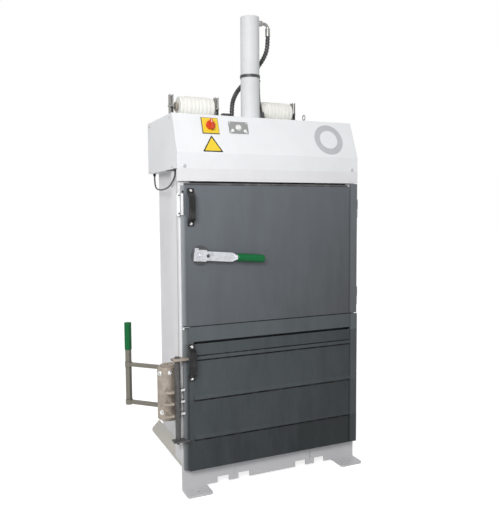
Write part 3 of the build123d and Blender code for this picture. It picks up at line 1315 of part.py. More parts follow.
with BuildPart() as start_button:
    with BuildSketch(on_slope(control_x, CONTROL_SLOPE, LABEL_PLATE + BUTTON_PROUD)):
        Circle(BUTTON_R)
    extrude(amount=-(LABEL_PLATE + BUTTON_PROUD + BUTTON_DEPTH))
    chamfer(start_button.edges().sort_by(Axis.Z)[-1], 1)
save(start_button, "start_button")
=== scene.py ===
import math

import bmesh
import bpy
from mathutils import Matrix, Vector


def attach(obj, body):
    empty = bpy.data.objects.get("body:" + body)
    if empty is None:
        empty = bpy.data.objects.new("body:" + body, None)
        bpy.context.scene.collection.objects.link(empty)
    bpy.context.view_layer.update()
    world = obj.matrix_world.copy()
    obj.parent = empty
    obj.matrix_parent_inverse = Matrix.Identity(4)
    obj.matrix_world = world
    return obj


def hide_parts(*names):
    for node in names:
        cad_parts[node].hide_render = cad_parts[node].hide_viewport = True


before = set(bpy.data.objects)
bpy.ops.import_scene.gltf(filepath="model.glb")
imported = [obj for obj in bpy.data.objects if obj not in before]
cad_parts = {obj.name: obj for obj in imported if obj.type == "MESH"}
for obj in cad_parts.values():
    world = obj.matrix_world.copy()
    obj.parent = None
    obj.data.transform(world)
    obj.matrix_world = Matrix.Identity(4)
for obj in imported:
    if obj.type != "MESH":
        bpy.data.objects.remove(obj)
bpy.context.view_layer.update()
scene = bpy.context.scene
scene.view_settings.view_transform = "Standard"


# Camera.
# It stands to the left of the baler at eye height, turned 24 degrees to the right and 4 degrees down,
# which is the photograph's view.
CAMERA_PLACE = (-1.4975, -2.9547, 1.4846)
CAMERA_YAW = math.radians(24.22)
CAMERA_DOWN = math.radians(4.24)
CAMERA_ROLL = math.radians(-0.34)
LONG_SIDE_PX = 512
FOCAL_PX = 611.5

look = Vector(
    (
        math.sin(CAMERA_YAW) * math.cos(CAMERA_DOWN),
        math.cos(CAMERA_YAW) * math.cos(CAMERA_DOWN),
        -math.sin(CAMERA_DOWN),
    )
)
level_right = Vector((math.cos(CAMERA_YAW), -math.sin(CAMERA_YAW), 0))
level_up = level_right.cross(look)
camera_right = level_right * math.cos(CAMERA_ROLL) + level_up * math.sin(CAMERA_ROLL)
camera_up = level_up * math.cos(CAMERA_ROLL) - level_right * math.sin(CAMERA_ROLL)
camera_data = bpy.data.cameras.new("photo_camera")
camera_data.sensor_width = 36
camera_data.lens = FOCAL_PX * camera_data.sensor_width / LONG_SIDE_PX
camera_data.clip_start = 0.05
camera = bpy.data.objects.new("photo_camera", camera_data)
turn = Matrix((camera_right, camera_up, -look)).transposed().to_4x4()
camera.matrix_world = Matrix.Translation(CAMERA_PLACE) @ turn
scene.collection.objects.link(camera)
scene.camera = camera


# Rubber and plastic surfaces.
# Moulded grain is shared by the hoses, the cable, the handles and the grips: a fine pebble in the height,
# a slow change of colour, and a little dust.
def feed(tree, part, socket):
    """Link a part into a socket if it is a socket itself, or else make it the socket's value."""
    if hasattr(part, "is_output"):
        tree.links.new(part, socket)
    else:
        socket.default_value = part


def add_node(tree, kind, **settings):
    """A node with its settings; a key that names an input socket feeds that socket."""
    node = tree.nodes.new(kind)
    for key, value in settings.items():
        if key in node.inputs:
            feed(tree, value, node.inputs[key])
        else:
            setattr(node, key, value)
    return node


def noise(tree, place, scale, detail, roughness):
    """A noise texture on the given coordinates."""
    values = {"Vector": place, "Scale": scale, "Detail": detail, "Roughness": roughness}
    return add_node(tree, "ShaderNodeTexNoise", **values).outputs["Fac"]


def stretched_noise(tree, place, stretch, scale, detail, roughness):
    """Noise drawn out along an axis, by scaling its coordinates."""
    mapping = add_node(tree, "ShaderNodeMapping", Vector=place, Scale=stretch)
    return noise(tree, mapping.outputs["Vector"], scale, detail, roughness)


def map_range(tree, value, low, high, to_low, to_high):
    """A clamped linear map of a value."""
    ends = {"Value": value, "From Min": low, "From Max": high, "To Min": to_low, "To Max": to_high}
    return add_node(tree, "ShaderNodeMapRange", **ends).outputs["Result"]


def mix_colour(tree, factor, first, second):
    """A colour mix; each part is a socket or a value."""
    node = add_node(tree, "ShaderNodeMix", data_type="RGBA")
    for index, part in ((0, factor), (6, first), (7, second)):
        feed(tree, part, node.inputs[index])
    return node.outputs[2]


def arithmetic(tree, operation, first, second=0.0):
    """A Math node of one or two parts, each a socket or a number."""
    node = add_node(tree, "ShaderNodeMath", operation=operation)
    feed(tree, first, node.inputs[0])
    feed(tree, second, node.inputs[1])
    return node.outputs[0]


def socket_name(key):
    """The name of a group's socket from its name in a call."""
    return key.replace("_", " ").title()


SURFACE_OUTPUTS = {"Color": "NodeSocketColor", "Roughness": "NodeSocketFloat", "Height": "NodeSocketFloat"}
PATTERN_HIGH = 0.7
DUST_COLOR = (0.45, 0.44, 0.42, 1)
COAT_ROUGHNESS = 0.2


def surface_group(name, **defaults):
    """A surface's node group with these inputs, the inputs themselves, and the object's coordinates."""
    tree = bpy.data.node_groups.new(name, "ShaderNodeTree")
    for key, default in defaults.items():
        is_color = isinstance(default, tuple)
        kind = "NodeSocketColor" if is_color else "NodeSocketFloat"
        socket = tree.interface.new_socket(socket_name(key), in_out="INPUT", socket_type=kind)
        socket.default_value = (*default, 1) if is_color else default
    for socket, kind in SURFACE_OUTPUTS.items():
        tree.interface.new_socket(socket, in_out="OUTPUT", socket_type=kind)
    given = add_node(tree, "NodeGroupInput").outputs
    return tree, given, add_node(tree, "ShaderNodeTexCoord").outputs["Object"]


def finish_group(tree, given, color, height, pattern, low=0.3):
    """Link a surface's outputs; the pattern, from low to high, leads between the two roughness inputs."""
    rough = map_range(tree, pattern, low, PATTERN_HIGH, given["Low Roughness"], given["High Roughness"])
    add_node(tree, "NodeGroupOutput", Color=color, Roughness=rough, Height=height)
    return tree


def moulded_grain_group():
    """Pebbled plastic or rubber that dulls in patches, where its dust lies."""
    tree, given, place = surface_group(
        "moulded_grain", color=(0.05, 0.05, 0.05), grain_scale=900.0, dust=0.1, low_roughness=0.4,
        high_roughness=0.6,
    )
    patch = noise(tree, place, 22, 4, 0.6)
    dust = arithmetic(tree, "MULTIPLY", map_range(tree, patch, 0.45, 0.75, 0, 1), given["Dust"])
    color = mix_colour(tree, dust, given["Color"], DUST_COLOR)
    return finish_group(tree, given, color, noise(tree, place, given["Grain Scale"], 2, 0.6), patch)


def surface_material(name, group, bump, bump_depth, rough, metallic=0.0, coat=0.0, specular=0.5, **values):
    """A Principled material whose colour, roughness and bump come from a surface group."""
    material = bpy.data.materials.new(name)
    material.use_nodes = True
    tree = material.node_tree
    tree.nodes.clear()
    surface = add_node(tree, "ShaderNodeGroup", node_tree=group)
    values.update(low_roughness=rough[0], high_roughness=rough[1])
    for key, value in values.items():
        surface.inputs[socket_name(key)].default_value = (*value, 1) if isinstance(value, tuple) else value
    height = surface.outputs["Height"]
    relief = add_node(tree, "ShaderNodeBump", Strength=bump, Distance=bump_depth, Height=height)
    parts = {
        "Base Color": surface.outputs["Color"],
        "Roughness": surface.outputs["Roughness"],
        "Normal": relief.outputs["Normal"],
        "Metallic": metallic,
        "Coat Weight": coat,
        "Coat Roughness": COAT_ROUGHNESS,
        "Specular IOR Level": specular,
    }
    shader = add_node(tree, "ShaderNodeBsdfPrincipled", **parts)
    add_node(tree, "ShaderNodeOutputMaterial", Surface=shader.outputs["BSDF"])
    material.diffuse_color = (*values["color"], 1)
    return material


moulded_grain = moulded_grain_group()
hose_rubber = surface_material(
    "hose_rubber", moulded_grain, 0.5, 0.0006, color=(0.028, 0.028, 0.03), grain_scale=1400.0, dust=0.12,
    rough=(0.42, 0.6),
)
cable_sheath = surface_material(
    "cable_sheath", moulded_grain, 0.3, 0.0004, color=(0.05, 0.05, 0.052), grain_scale=2200.0, dust=0.15,
    rough=(0.45, 0.6),
)


# Top hose.
# Rubber pressure hose of 22 mm from the elbow beside the cylinder head, round behind the cylinder, down to
# the swivel on the roof. A black plastic spiral guard is wound round it.
HOSE_DIAMETER = 0.022
TOP_HOSE_ROUTE = (
    (0.115, 0.345, 2.500),
    (0.115, 0.345, 2.438),
    (0.104, 0.368, 2.386),
    (0.078, 0.401, 2.336),
    (0.044, 0.422, 2.286),
    (0.006, 0.432, 2.242),
    (-0.034, 0.430, 2.204),
    (-0.068, 0.419, 2.157),
    (-0.090, 0.408, 2.103),
    (-0.090, 0.408, 2.040),
)


def line_curve(name, points, diameter, material=None):
    """A smooth NURBS line through the route's control points, with a round section."""
    data = bpy.data.curves.new(name, "CURVE")
    data.dimensions = "3D"
    data.resolution_u = 12
    data.bevel_depth = diameter / 2
    data.bevel_resolution = 5
    data.use_fill_caps = True
    spline = data.splines.new("NURBS")
    spline.points.add(len(points) - 1)
    for spot, point in zip(spline.points, points):
        spot.co = (*point, 1)
    spline.order_u = 3
    spline.use_endpoint_u = True
    piece = bpy.data.objects.new(name, data)
    scene.collection.objects.link(piece)
    if material is not None:
        data.materials.append(material)
    return piece


def curve_points(points):
    """The points of the smooth line itself, read from a curve with no bevel."""
    probe = line_curve("probe_line", points, 0)
    depsgraph = bpy.context.evaluated_depsgraph_get()
    mesh = bpy.data.meshes.new_from_object(probe.evaluated_get(depsgraph))
    line = [v.co.copy() for v in mesh.vertices]
    bpy.data.meshes.remove(mesh)
    bpy.data.objects.remove(probe)
    return line


def finish_piece(name, data, body, smooth_angle):
    """A mesh made a piece that rides on a body, smooth up to an angle."""
    data.shade_smooth()
    data.set_sharp_from_angle(angle=math.radians(smooth_angle))
    piece = bpy.data.objects.new(name, data)
    scene.collection.objects.link(piece)
    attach(piece, body)
    return piece


def mesh_piece(name, build, material, body, smooth_angle=35):
    """A new piece in the row frame, whose mesh is filled by build."""
    data = bpy.data.meshes.new(name)
    shape = bmesh.new()
    build(shape)
    bmesh.ops.remove_doubles(shape, verts=shape.verts, dist=1e-6)
    bmesh.ops.recalc_face_normals(shape, faces=shape.faces)
    shape.to_mesh(data)
    shape.free()
    data.materials.append(material)
    return finish_piece(name, data, body, smooth_angle)


top_hose = line_curve("pressure_hose", TOP_HOSE_ROUTE, HOSE_DIAMETER, hose_rubber)
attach(top_hose, "frame")
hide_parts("top_hose")


def turns(count):
    """Angles evenly spaced round a full turn."""
    return [2 * math.pi * i / count for i in range(count)]


def skin(shape, rings):
    """Faces from each ring of points to the next, and one on either end."""
    count = len(rings[0])
    for low, high in zip(rings, rings[1:]):
        for i in range(count):
            after = (i + 1) % count
            shape.faces.new((low[i], low[after], high[after], high[i]))
    shape.faces.new(rings[0])
    shape.faces.new(rings[-1])


GUARD_PITCH = 0.017
GUARD_BAND = 0.0095
GUARD_THICKNESS = 0.0024
GUARD_STEPS = 14
GUARD_GAP = 0.0004
GUARD_EDGE = 0.001
GUARD_END = 0.007


def spiral_guard(shape):
    """A flat band wound round the hose's own line."""
    line = curve_points(TOP_HOSE_ROUTE)
    lengths = [0.0]
    for before, after in zip(line, line[1:]):
        lengths.append(lengths[-1] + (after - before).length)
    total = lengths[-1] - 2 * GUARD_END
    count = int(total / GUARD_PITCH * GUARD_STEPS)
    inner = HOSE_DIAMETER / 2 + GUARD_GAP
    side = Vector((0, 1, 0))
    section = (
        (inner, -GUARD_BAND / 2),
        (inner + GUARD_THICKNESS, -GUARD_BAND / 2 + GUARD_EDGE),
        (inner + GUARD_THICKNESS, GUARD_BAND / 2 - GUARD_EDGE),
        (inner, GUARD_BAND / 2),
    )
    rings, segment = [], 0
    for i in range(count + 1):
        at = GUARD_END + total * i / count
        while segment < len(line) - 2 and lengths[segment + 1] < at:
            segment += 1
        share = (at - lengths[segment]) / (lengths[segment + 1] - lengths[segment])
        ahead = (line[segment + 1] - line[segment]).normalized()
        centre = line[segment].lerp(line[segment + 1], share)
        side = (side - ahead * side.dot(ahead)).normalized()
        angle = 2 * math.pi * i / GUARD_STEPS
        out = side * math.cos(angle) + ahead.cross(side) * math.sin(angle)
        rings.append([shape.verts.new(centre + out * radius + ahead * along) for radius, along in section])
    skin(shape, rings)


guard_plastic = surface_material(
    "guard_plastic", moulded_grain, 0.3, 0.0004, color=(0.035, 0.035, 0.037), grain_scale=1500.0, dust=0.25,
    rough=(0.3, 0.5),
)
mesh_piece("hose_guard", spiral_guard, guard_plastic, "frame", 50)


# Return hose.
# Thin rubber hose that hangs from the clamp band on the cylinder's right side and ends in the roof.
RETURN_DIAMETER = 0.011
RETURN_ROUTE = (
    (0.0615, 0.354, 2.248),
    (0.0615, 0.354, 2.112),
    (0.0795, 0.342, 2.044),
    (0.0795, 0.342, 1.993),
)
return_hose = line_curve("return_line", RETURN_ROUTE, RETURN_DIAMETER, hose_rubber)
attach(return_hose, "frame")
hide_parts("return_hose")


# Side cable.
# Black sheathed cable of 9 mm that loops under the left side of the hood between two glands.
CABLE_DIAMETER = 0.009
CABLE_X = -0.516
CABLE_OUT_X = -0.5432
SIDE_CABLE_ROUTE = (
    (CABLE_X, 0.573, 1.703),
    (CABLE_X, 0.573, 1.664),
    (CABLE_X - 0.002, 0.553, 1.629),
    (CABLE_X - 0.006, 0.507, 1.612),
    (CABLE_X - 0.011, 0.434, 1.605),
    (CABLE_X - 0.016, 0.357, 1.603),
    (CABLE_X - 0.022, 0.280, 1.605),
    (CABLE_X - 0.028, 0.208, 1.611),
    (CABLE_X - 0.031, 0.148, 1.624),
    (CABLE_X - 0.030, 0.106, 1.646),
    (CABLE_OUT_X, 0.085, 1.671),
    (CABLE_OUT_X, 0.085, 1.703),
)
side_cable = line_curve("side_cable_loop", SIDE_CABLE_ROUTE, CABLE_DIAMETER, cable_sheath)
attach(side_cable, "frame")
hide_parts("side_cable")


# White sheet steel.
# Folded and welded sheet with a powder coat: fine orange peel, a slow change of tone, thin scuffs, and
# soiling with painted shade that darkens towards the floor. On the doors the painted shade also darkens
# towards the right, and on the lower door it goes in terraces from bead to bead; a painted highlight
# lightens the folds at the doors' edges.
BLACK = (0, 0, 0, 1)
FOLD_HIGHLIGHT_COLOR = (0.75, 0.78, 0.8, 1)
LOWEST_TERRACE = 0.235
TERRACES = ((0.288, 0.178), (0.500, 0.127), (0.794, 0.340))
LEFT_FOLD = (-0.527, -0.507)
RIGHT_FOLD = (0.486, 0.488)
RIGHT_HIGHLIGHT = 0.17
STEP_HALF = 0.001


def powder_coat_group():
    """Paint under soiling and painted shade whose level leans with the distance across, under a painted
    highlight on the door folds, and under long scuffs.
    """
    tree, given, place = surface_group(
        "powder_coat", color=(0.8, 0.8, 0.8), soil_color=(0.5, 0.5, 0.48), soil=0.2, soil_height=0.3,
        soil_lean=0.0, soil_terraces=0.0, scuff_color=(0.4, 0.4, 0.4), scuffs=0.1, fold_shine=0.0,
        low_roughness=0.35, high_roughness=0.5,
    )
    tone = noise(tree, place, 3.5, 4, 0.6)
    axes = add_node(tree, "ShaderNodeSeparateXYZ", Vector=place).outputs
    # Soiling and painted shade: darker towards the floor, in steps at the lower door's beads when terraced,
    # and darker towards the right by the lean.
    terraced = LOWEST_TERRACE
    for edge_z, rise in TERRACES:
        step = map_range(tree, axes["Z"], edge_z - STEP_HALF, edge_z + STEP_HALF, 0.0, rise)
        terraced = arithmetic(tree, "ADD", step, terraced)
    level = map_range(tree, given["Soil Terraces"], 0.0, 1.0, axes["Z"], terraced)
    lean = arithmetic(tree, "MULTIPLY", axes["X"], given["Soil Lean"])
    height = arithmetic(tree, "DIVIDE", arithmetic(tree, "SUBTRACT", level, lean), given["Soil Height"])
    low = map_range(tree, height, 0.0, 1.0, 0.75, 0.0)
    smear = map_range(tree, stretched_noise(tree, place, (6, 6, 1.6), 1.8, 6, 0.7), 0.0, 1.0, 0.34, 0.66)
    soil = map_range(tree, arithmetic(tree, "ADD", smear, low), 0.45, 1.15, 0.0, 1.0)
    scratch = stretched_noise(tree, place, (4, 4, 90), 2.4, 8, 0.75)
    scuffs = map_range(tree, scratch, 0.66, 0.72, 0.0, 1.0)
    # Painted highlight on the doors' edge folds: full at the left fold, weaker at the right one.
    fold = arithmetic(
        tree,
        "ADD",
        map_range(tree, axes["X"], *LEFT_FOLD, 1.0, 0.0),
        map_range(tree, axes["X"], *RIGHT_FOLD, 0.0, RIGHT_HIGHLIGHT),
    )
    color = mix_colour(tree, map_range(tree, tone, 0.3, PATTERN_HIGH, 0.0, 0.07), given["Color"], BLACK)
    for mask, amount, other in (
        (soil, "Soil", given["Soil Color"]),
        (fold, "Fold Shine", FOLD_HIGHLIGHT_COLOR),
        (scuffs, "Scuffs", given["Scuff Color"]),
    ):
        color = mix_colour(tree, arithmetic(tree, "MULTIPLY", mask, given[amount]), color, other)
    return finish_group(tree, given, color, noise(tree, place, 420, 2, 0.5), tone)


powder_coat = powder_coat_group()


def dress(material, *nodes):
    """Give CAD nodes a finished material."""
    for node in nodes:
        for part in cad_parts[node].material_slots:
            part.material = material


# The frame's coat darkens towards the floor, partly with dirt and partly as painted shade where the low parts
# get less light.
white_paint = surface_material(
    "white_powder_coat", powder_coat, 0.12, 0.0005, color=(0.80, 0.80, 0.82), soil_color=(0.40, 0.40, 0.41),
    soil=0.56, soil_height=0.65, scuff_color=(0.45, 0.45, 0.45), scuffs=0.12, rough=(0.34, 0.46),
)
dress(
    white_paint, "front_plinth", "rear_plinth", "legs", "cross_beams", "post_left", "post_right",
    "side_wall_left", "side_wall_right", "rear_wall", "crosshead", "lintel", "frame_knuckles",
)
# The skirts get a darker, warmer copy of the white coat that darkens further towards the floor, partly with
# dirt and partly as painted shade.
skirt_paint = surface_material(
    "skirt_powder_coat", powder_coat, 0.15, 0.0005, color=(0.62, 0.61, 0.57), soil_color=(0.34, 0.31, 0.25),
    soil=0.6, soil_height=0.35, scuff_color=(0.35, 0.33, 0.3), scuffs=0.35, rough=(0.38, 0.55),
)
dress(skirt_paint, "skirt_left", "skirt_right")


# Hood.
# Four folded covers over the power pack, in the same white coat but cleaner, because hands and feet don't
# reach it.
hood_paint = surface_material(
    "hood_powder_coat", powder_coat, 0.12, 0.0005, color=(0.83, 0.84, 0.86), soil_color=(0.55, 0.54, 0.5),
    soil=0.12, soil_height=2.2, scuff_color=(0.5, 0.5, 0.5), scuffs=0.05, rough=(0.34, 0.44),
)
dress(hood_paint, "hood_cover", "hood_side_left", "hood_side_right")


# Zinc plated fittings.
# Bolts, brackets, rods, the lock rod and the latch lever are plated steel: a grey blue skin with faint
# spangle, rubbed brighter where they are handled.
SPANGLE_COLOR = (0.2, 0.2, 0.22, 1)


def plated_steel_group():
    """Plating with faint grains of its own tone, dulled in patches."""
    tree, given, place = surface_group(
        "plated_steel", color=(0.6, 0.6, 0.6), dull_color=(0.35, 0.35, 0.34), dull=0.5, low_roughness=0.25,
        high_roughness=0.45,
    )
    cells = add_node(tree, "ShaderNodeTexVoronoi", Vector=place, Scale=160.0)
    cell = add_node(tree, "ShaderNodeSeparateColor", Color=cells.outputs["Color"])
    spangle = map_range(tree, cell.outputs["Red"], 0.0, 1.0, 0.0, 0.16)
    patch = noise(tree, place, 30, 5, 0.65)
    dull = arithmetic(tree, "MULTIPLY", map_range(tree, patch, 0.4, PATTERN_HIGH, 0.0, 1.0), given["Dull"])
    color = mix_colour(tree, spangle, given["Color"], SPANGLE_COLOR)
    color = mix_colour(tree, dull, color, given["Dull Color"])
    return finish_group(tree, given, color, noise(tree, place, 700, 3, 0.6), patch, 0.35)


plated_steel = plated_steel_group()
zinc = surface_material(
    "zinc_plate", plated_steel, 0.15, 0.0003, metallic=1.0, color=(0.60, 0.61, 0.62),
    dull_color=(0.30, 0.30, 0.29), dull=0.5, rough=(0.28, 0.5),
)
dress(zinc, "hood_screws", "frame_bolts", "roll_rods", "hinge_pins", "latch_tongue")
dull_zinc = surface_material(
    "dull_zinc", plated_steel, 0.2, 0.0003, metallic=0.8, color=(0.33, 0.325, 0.31),
    dull_color=(0.15, 0.145, 0.135), dull=0.6, rough=(0.3, 0.5),
)
dress(dull_zinc, "hose_elbow")


# Cylinder.
# Drawn steel tube with a screwed head, painted with the frame, but its white is kept darker than the frame's
# as painted shade. The clamp band that holds the hoses is black.
cylinder_paint = surface_material(
    "cylinder_paint", powder_coat, 0.08, 0.0004, specular=0.3, color=(0.70, 0.71, 0.72),
    soil_color=(0.5, 0.5, 0.48), soil=0.1, soil_height=2.4, scuff_color=(0.5, 0.5, 0.5), scuffs=0.06,
    rough=(0.48, 0.6),
)
dress(cylinder_paint, "cylinder_tube", "cylinder_head")
black_steel = surface_material(
    "black_steel", powder_coat, 0.15, 0.0004, color=(0.035, 0.036, 0.04), soil_color=(0.16, 0.155, 0.15),
    soil=0.3, soil_height=2.5, scuff_color=(0.35, 0.35, 0.35), scuffs=0.25, rough=(0.35, 0.5),
)
dress(black_steel, "cylinder_band", "roof_fitting")
dress(dull_zinc, "roll_brackets", "tape_guide")


def lathe(shape, origin, axis, profile, segments=32):
    """Turn a profile of (distance along the axis, radius) pairs round the axis, closed at both ends."""
    axis = Vector(axis).normalized()
    side = axis.orthogonal().normalized()
    other = axis.cross(side)
    outward = [side * math.cos(turn) + other * math.sin(turn) for turn in turns(segments)]
    rings = []
    for along, radius in profile:
        centre = Vector(origin) + axis * along
        rings.append([shape.verts.new(centre + out * radius) for out in outward])
    skin(shape, rings)


def lathe_piece(name, turned, material, body, smooth_angle=35):
    """A turned piece, from its origin, axis, profile and segments."""
    mesh_piece(name, lambda shape: lathe(shape, *turned), material, body, smooth_angle)


def slab(shape, corner, edges, bevel, segments=2):
    """A bevelled block from one corner and its three edge vectors."""
    corner = Vector(corner)
    first, second, third = (Vector(edge) for edge in edges)
    zero = Vector()
    base = ((zero, zero), (first, zero), (first, second), (zero, second))
    low = [shape.verts.new(corner + a + b) for a, b in base]
    high = [shape.verts.new(v.co + third) for v in low]
    faces = [shape.faces.new(low), shape.faces.new(high)]
    for i in range(4):
        after = (i + 1) % 4
        faces.append(shape.faces.new((low[i], low[after], high[after], high[i])))
    rims = {edge for face in faces for edge in face.edges}
    bmesh.ops.bevel(shape, geom=list(rims), offset=bevel, segments=segments, affect="EDGES", profile=0.5)


def block(shape, corner, size, bevel, segments=2):
    """A bevelled block along the axes, from its low corner and its width, depth and height."""
    wide, deep, tall = size
    slab(shape, corner, ((wide, 0, 0), (0, deep, 0), (0, 0, tall)), bevel, segments)


def block_piece(name, blocks, material, body):
    """A piece made of blocks, each with its corner, size, bevel and steps of the bevel."""

    def build(shape):
        for part in blocks:
            block(shape, *part)

    mesh_piece(name, build, material, body)


# Return hose clip.
# A folded steel clip under the band presses the thin hose against the cylinder.
UP = (0, 0, 1)
CLIP_PROFILE = ((0, 0.0066), (0.001, 0.0072), (0.012, 0.0072), (0.013, 0.0066))


def hose_clip(shape):
    block(shape, (0.0545, 0.346, 2.2365), (0.0135, 0.017, 0.013), 0.0025)
    lathe(shape, (0.0615, 0.354, 2.236), UP, CLIP_PROFILE)


mesh_piece("return_hose_clip", hose_clip, black_steel, "frame")


# Return hose boot.
# Moulded rubber cone where the thin hose goes through the roof, wider at its foot.
BOOT_PROFILE = (
    (0, 0.019), (0.004, 0.019), (0.006, 0.0165), (0.016, 0.0152), (0.018, 0.0142), (0.03, 0.0128),
    (0.032, 0.0118), (0.044, 0.0104), (0.046, 0.0096), (0.058, 0.0084), (0.066, 0.0076), (0.068, 0.0068),
)
lathe_piece("return_hose_boot", (RETURN_ROUTE[-1], UP, BOOT_PROFILE), hose_rubber, "frame")


# Feed line.
# Black coated steel tube that feeds the lower side of the cylinder, clipped to its back.
FEED_DIAMETER = 0.012
FEED_LINE_ROUTE = (
    (-0.020, 0.380, 2.330),
    (-0.020, 0.392, 2.300),
    (-0.020, 0.3973, 2.260),
    (-0.020, 0.3973, 2.120),
    (-0.020, 0.3973, 1.995),
)
feed_line = line_curve("feed_line", FEED_LINE_ROUTE, FEED_DIAMETER, black_steel)
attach(feed_line, "frame")
block_piece(
    "feed_line_clip", (((-0.0275, 0.388, 2.2505), (0.015, 0.0165, 0.015), 0.002),),
    black_steel, "frame",
)


# Tape rolls.
# Woven polyester baling tape wound on a cardboard core. Bands lie side by side, each a little higher or
# lower than the last, and the ends show the edges of the windings.
def wound_tape_group():
    """Woven threads along the axis of the roll, crossed by short weft."""
    tree, given, place = surface_group(
        "wound_tape", color=(0.8, 0.78, 0.7), shade_color=(0.6, 0.57, 0.48), thread=520.0, low_roughness=0.6,
        high_roughness=0.75,
    )
    along = add_node(tree, "ShaderNodeSeparateXYZ", Vector=place).outputs["X"]
    ply = arithmetic(tree, "SINE", arithmetic(tree, "MULTIPLY", along, given["Thread"]))
    weft = stretched_noise(tree, place, (3000, 120, 120), 1.0, 2, 0.5)
    patch = noise(tree, place, 24, 4, 0.6)
    relief = arithmetic(
        tree, "ADD", map_range(tree, ply, -1, 1, 0, 0.5), map_range(tree, weft, 0.3, PATTERN_HIGH, 0, 0.5)
    )
    shade = arithmetic(tree, "MULTIPLY", map_range(tree, relief, 0.9, 0.1, 0, 0.6), patch)
    color = mix_colour(tree, shade, given["Color"], given["Shade Color"])
    return finish_group(tree, given, color, relief, patch)


wound_tape = wound_tape_group()
tape_white = surface_material(
    "woven_tape", wound_tape, 0.3, 0.0005, color=(0.86, 0.855, 0.81), shade_color=(0.78, 0.765, 0.70),
    thread=2400.0, rough=(0.6, 0.75),
)
cardboard = surface_material(
    "core_cardboard", moulded_grain, 0.4, 0.0005, color=(0.34, 0.30, 0.24), grain_scale=600.0, dust=0.3,
    rough=(0.75, 0.9),
)
ROLL_Y = 0.416
ROLL_Z = 2.076
ROLL_HALF = 0.108
ROLL_RADIUS = 0.060
CORE_RADIUS = 0.026
CORE_PROFILE = (
    (0, CORE_RADIUS - 0.001), (0.0085, CORE_RADIUS - 0.001), (0.0092, CORE_RADIUS - 0.002), (0.0092, 0.0195),
    (0.006, 0.019), (0.006, 0.0062),
)
BAND_INSET = 0.0004
BAND_STEPS = (-0.0040, -0.0007, -0.0001, -0.0004, -0.0002, -0.0003, 0.0, -0.0008, -0.0045)
WOUND_FROM = 0.012

for side, centre_x in (("left", -0.322), ("right", 0.182)):
    body = side + "_roll"

    def windings(shape, centre_x=centre_x):
        pitch = (2 * ROLL_HALF - WOUND_FROM) / len(BAND_STEPS)
        profile = [(WOUND_FROM, CORE_RADIUS)]
        for i, step in enumerate(BAND_STEPS):
            outer = ROLL_RADIUS - BAND_INSET + step
            low = WOUND_FROM + i * pitch
            profile += [
                (low + 0.0004, outer - 0.0008),
                (low + 0.0014, outer - 0.0002),
                (low + pitch / 2, outer),
                (low + pitch - 0.0014, outer - 0.0002),
                (low + pitch - 0.0004, outer - 0.0008),
            ]
        profile.append((2 * ROLL_HALF, CORE_RADIUS))
        lathe(shape, (centre_x - ROLL_HALF, ROLL_Y, ROLL_Z), (1, 0, 0), profile, 64)

    def core(shape, centre_x=centre_x):
        for end in (-1, 1):
            foot = (centre_x + end * (ROLL_HALF - 0.004), ROLL_Y, ROLL_Z)
            lathe(shape, foot, (end, 0, 0), CORE_PROFILE, 40)

    roll = mesh_piece("wound_tape_" + side, windings, tape_white, body)
    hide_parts("tape_roll_" + side)
    mesh_piece("tape_core_" + side, core, cardboard, body)


# Power pack under the hood.
# Welded oil tank, pump with its motor, and the box for the wiring. They are seen only from below or if the
# hood is taken off.
motor_paint = surface_material(
    "motor_paint", powder_coat, 0.3, 0.0005, color=(0.16, 0.2, 0.26), soil_color=(0.1, 0.1, 0.09), soil=0.3,
    soil_height=2.6, scuff_color=(0.4, 0.4, 0.4), scuffs=0.15, rough=(0.4, 0.6),
)
dress(motor_paint, "oil_tank", "pump_motor")
grey_plastic = surface_material(
    "grey_plastic", moulded_grain, 0.25, 0.0004, color=(0.29, 0.29, 0.29), grain_scale=1800.0, dust=0.1,
    rough=(0.4, 0.55),
)
dress(grey_plastic, "electrical_box", "control_plate")
black_plastic = surface_material(
    "black_plastic", moulded_grain, 0.3, 0.0004, specular=0.25, color=(0.014, 0.014, 0.015),
    grain_scale=1600.0, dust=0.08, rough=(0.3, 0.45),
)
dress(black_plastic, "cable_glands")


# Screw heads.
# One rule makes every small round or six-sided head: a washer, and on it a head that narrows to its top.
# Points say where they sit, and a turn says which way they face.
screw_field = bpy.data.node_groups.new("screw_field", "GeometryNodeTree")
screw_field.interface.new_socket("Geometry", in_out="INPUT", socket_type="NodeSocketGeometry")
for socket, kind in (
    ("Head Radius", "Float"), ("Head Height", "Float"), ("Washer Radius", "Float"),
    ("Washer Height", "Float"), ("Sides", "Int"), ("Facing", "Vector"), ("Finish", "Material"),
):
    screw_field.interface.new_socket(socket, in_out="INPUT", socket_type="NodeSocket" + kind)
screw_field.interface.new_socket("Geometry", in_out="OUTPUT", socket_type="NodeSocketGeometry")
screw_in = add_node(screw_field, "NodeGroupInput").outputs
WASHER_SIDES = 24
HEAD_TAPER = 0.82


def screw_cone(kind, sides):
    """A washer or a head: a cone cut off where it is a little narrower than its foot."""
    radius = screw_in[kind + " Radius"]
    sizes = {
        "Vertices": sides,
        "Radius Bottom": radius,
        "Radius Top": arithmetic(screw_field, "MULTIPLY", radius, HEAD_TAPER),
        "Depth": screw_in[kind + " Height"],
    }
    return add_node(screw_field, "GeometryNodeMeshCone", **sizes).outputs["Mesh"]


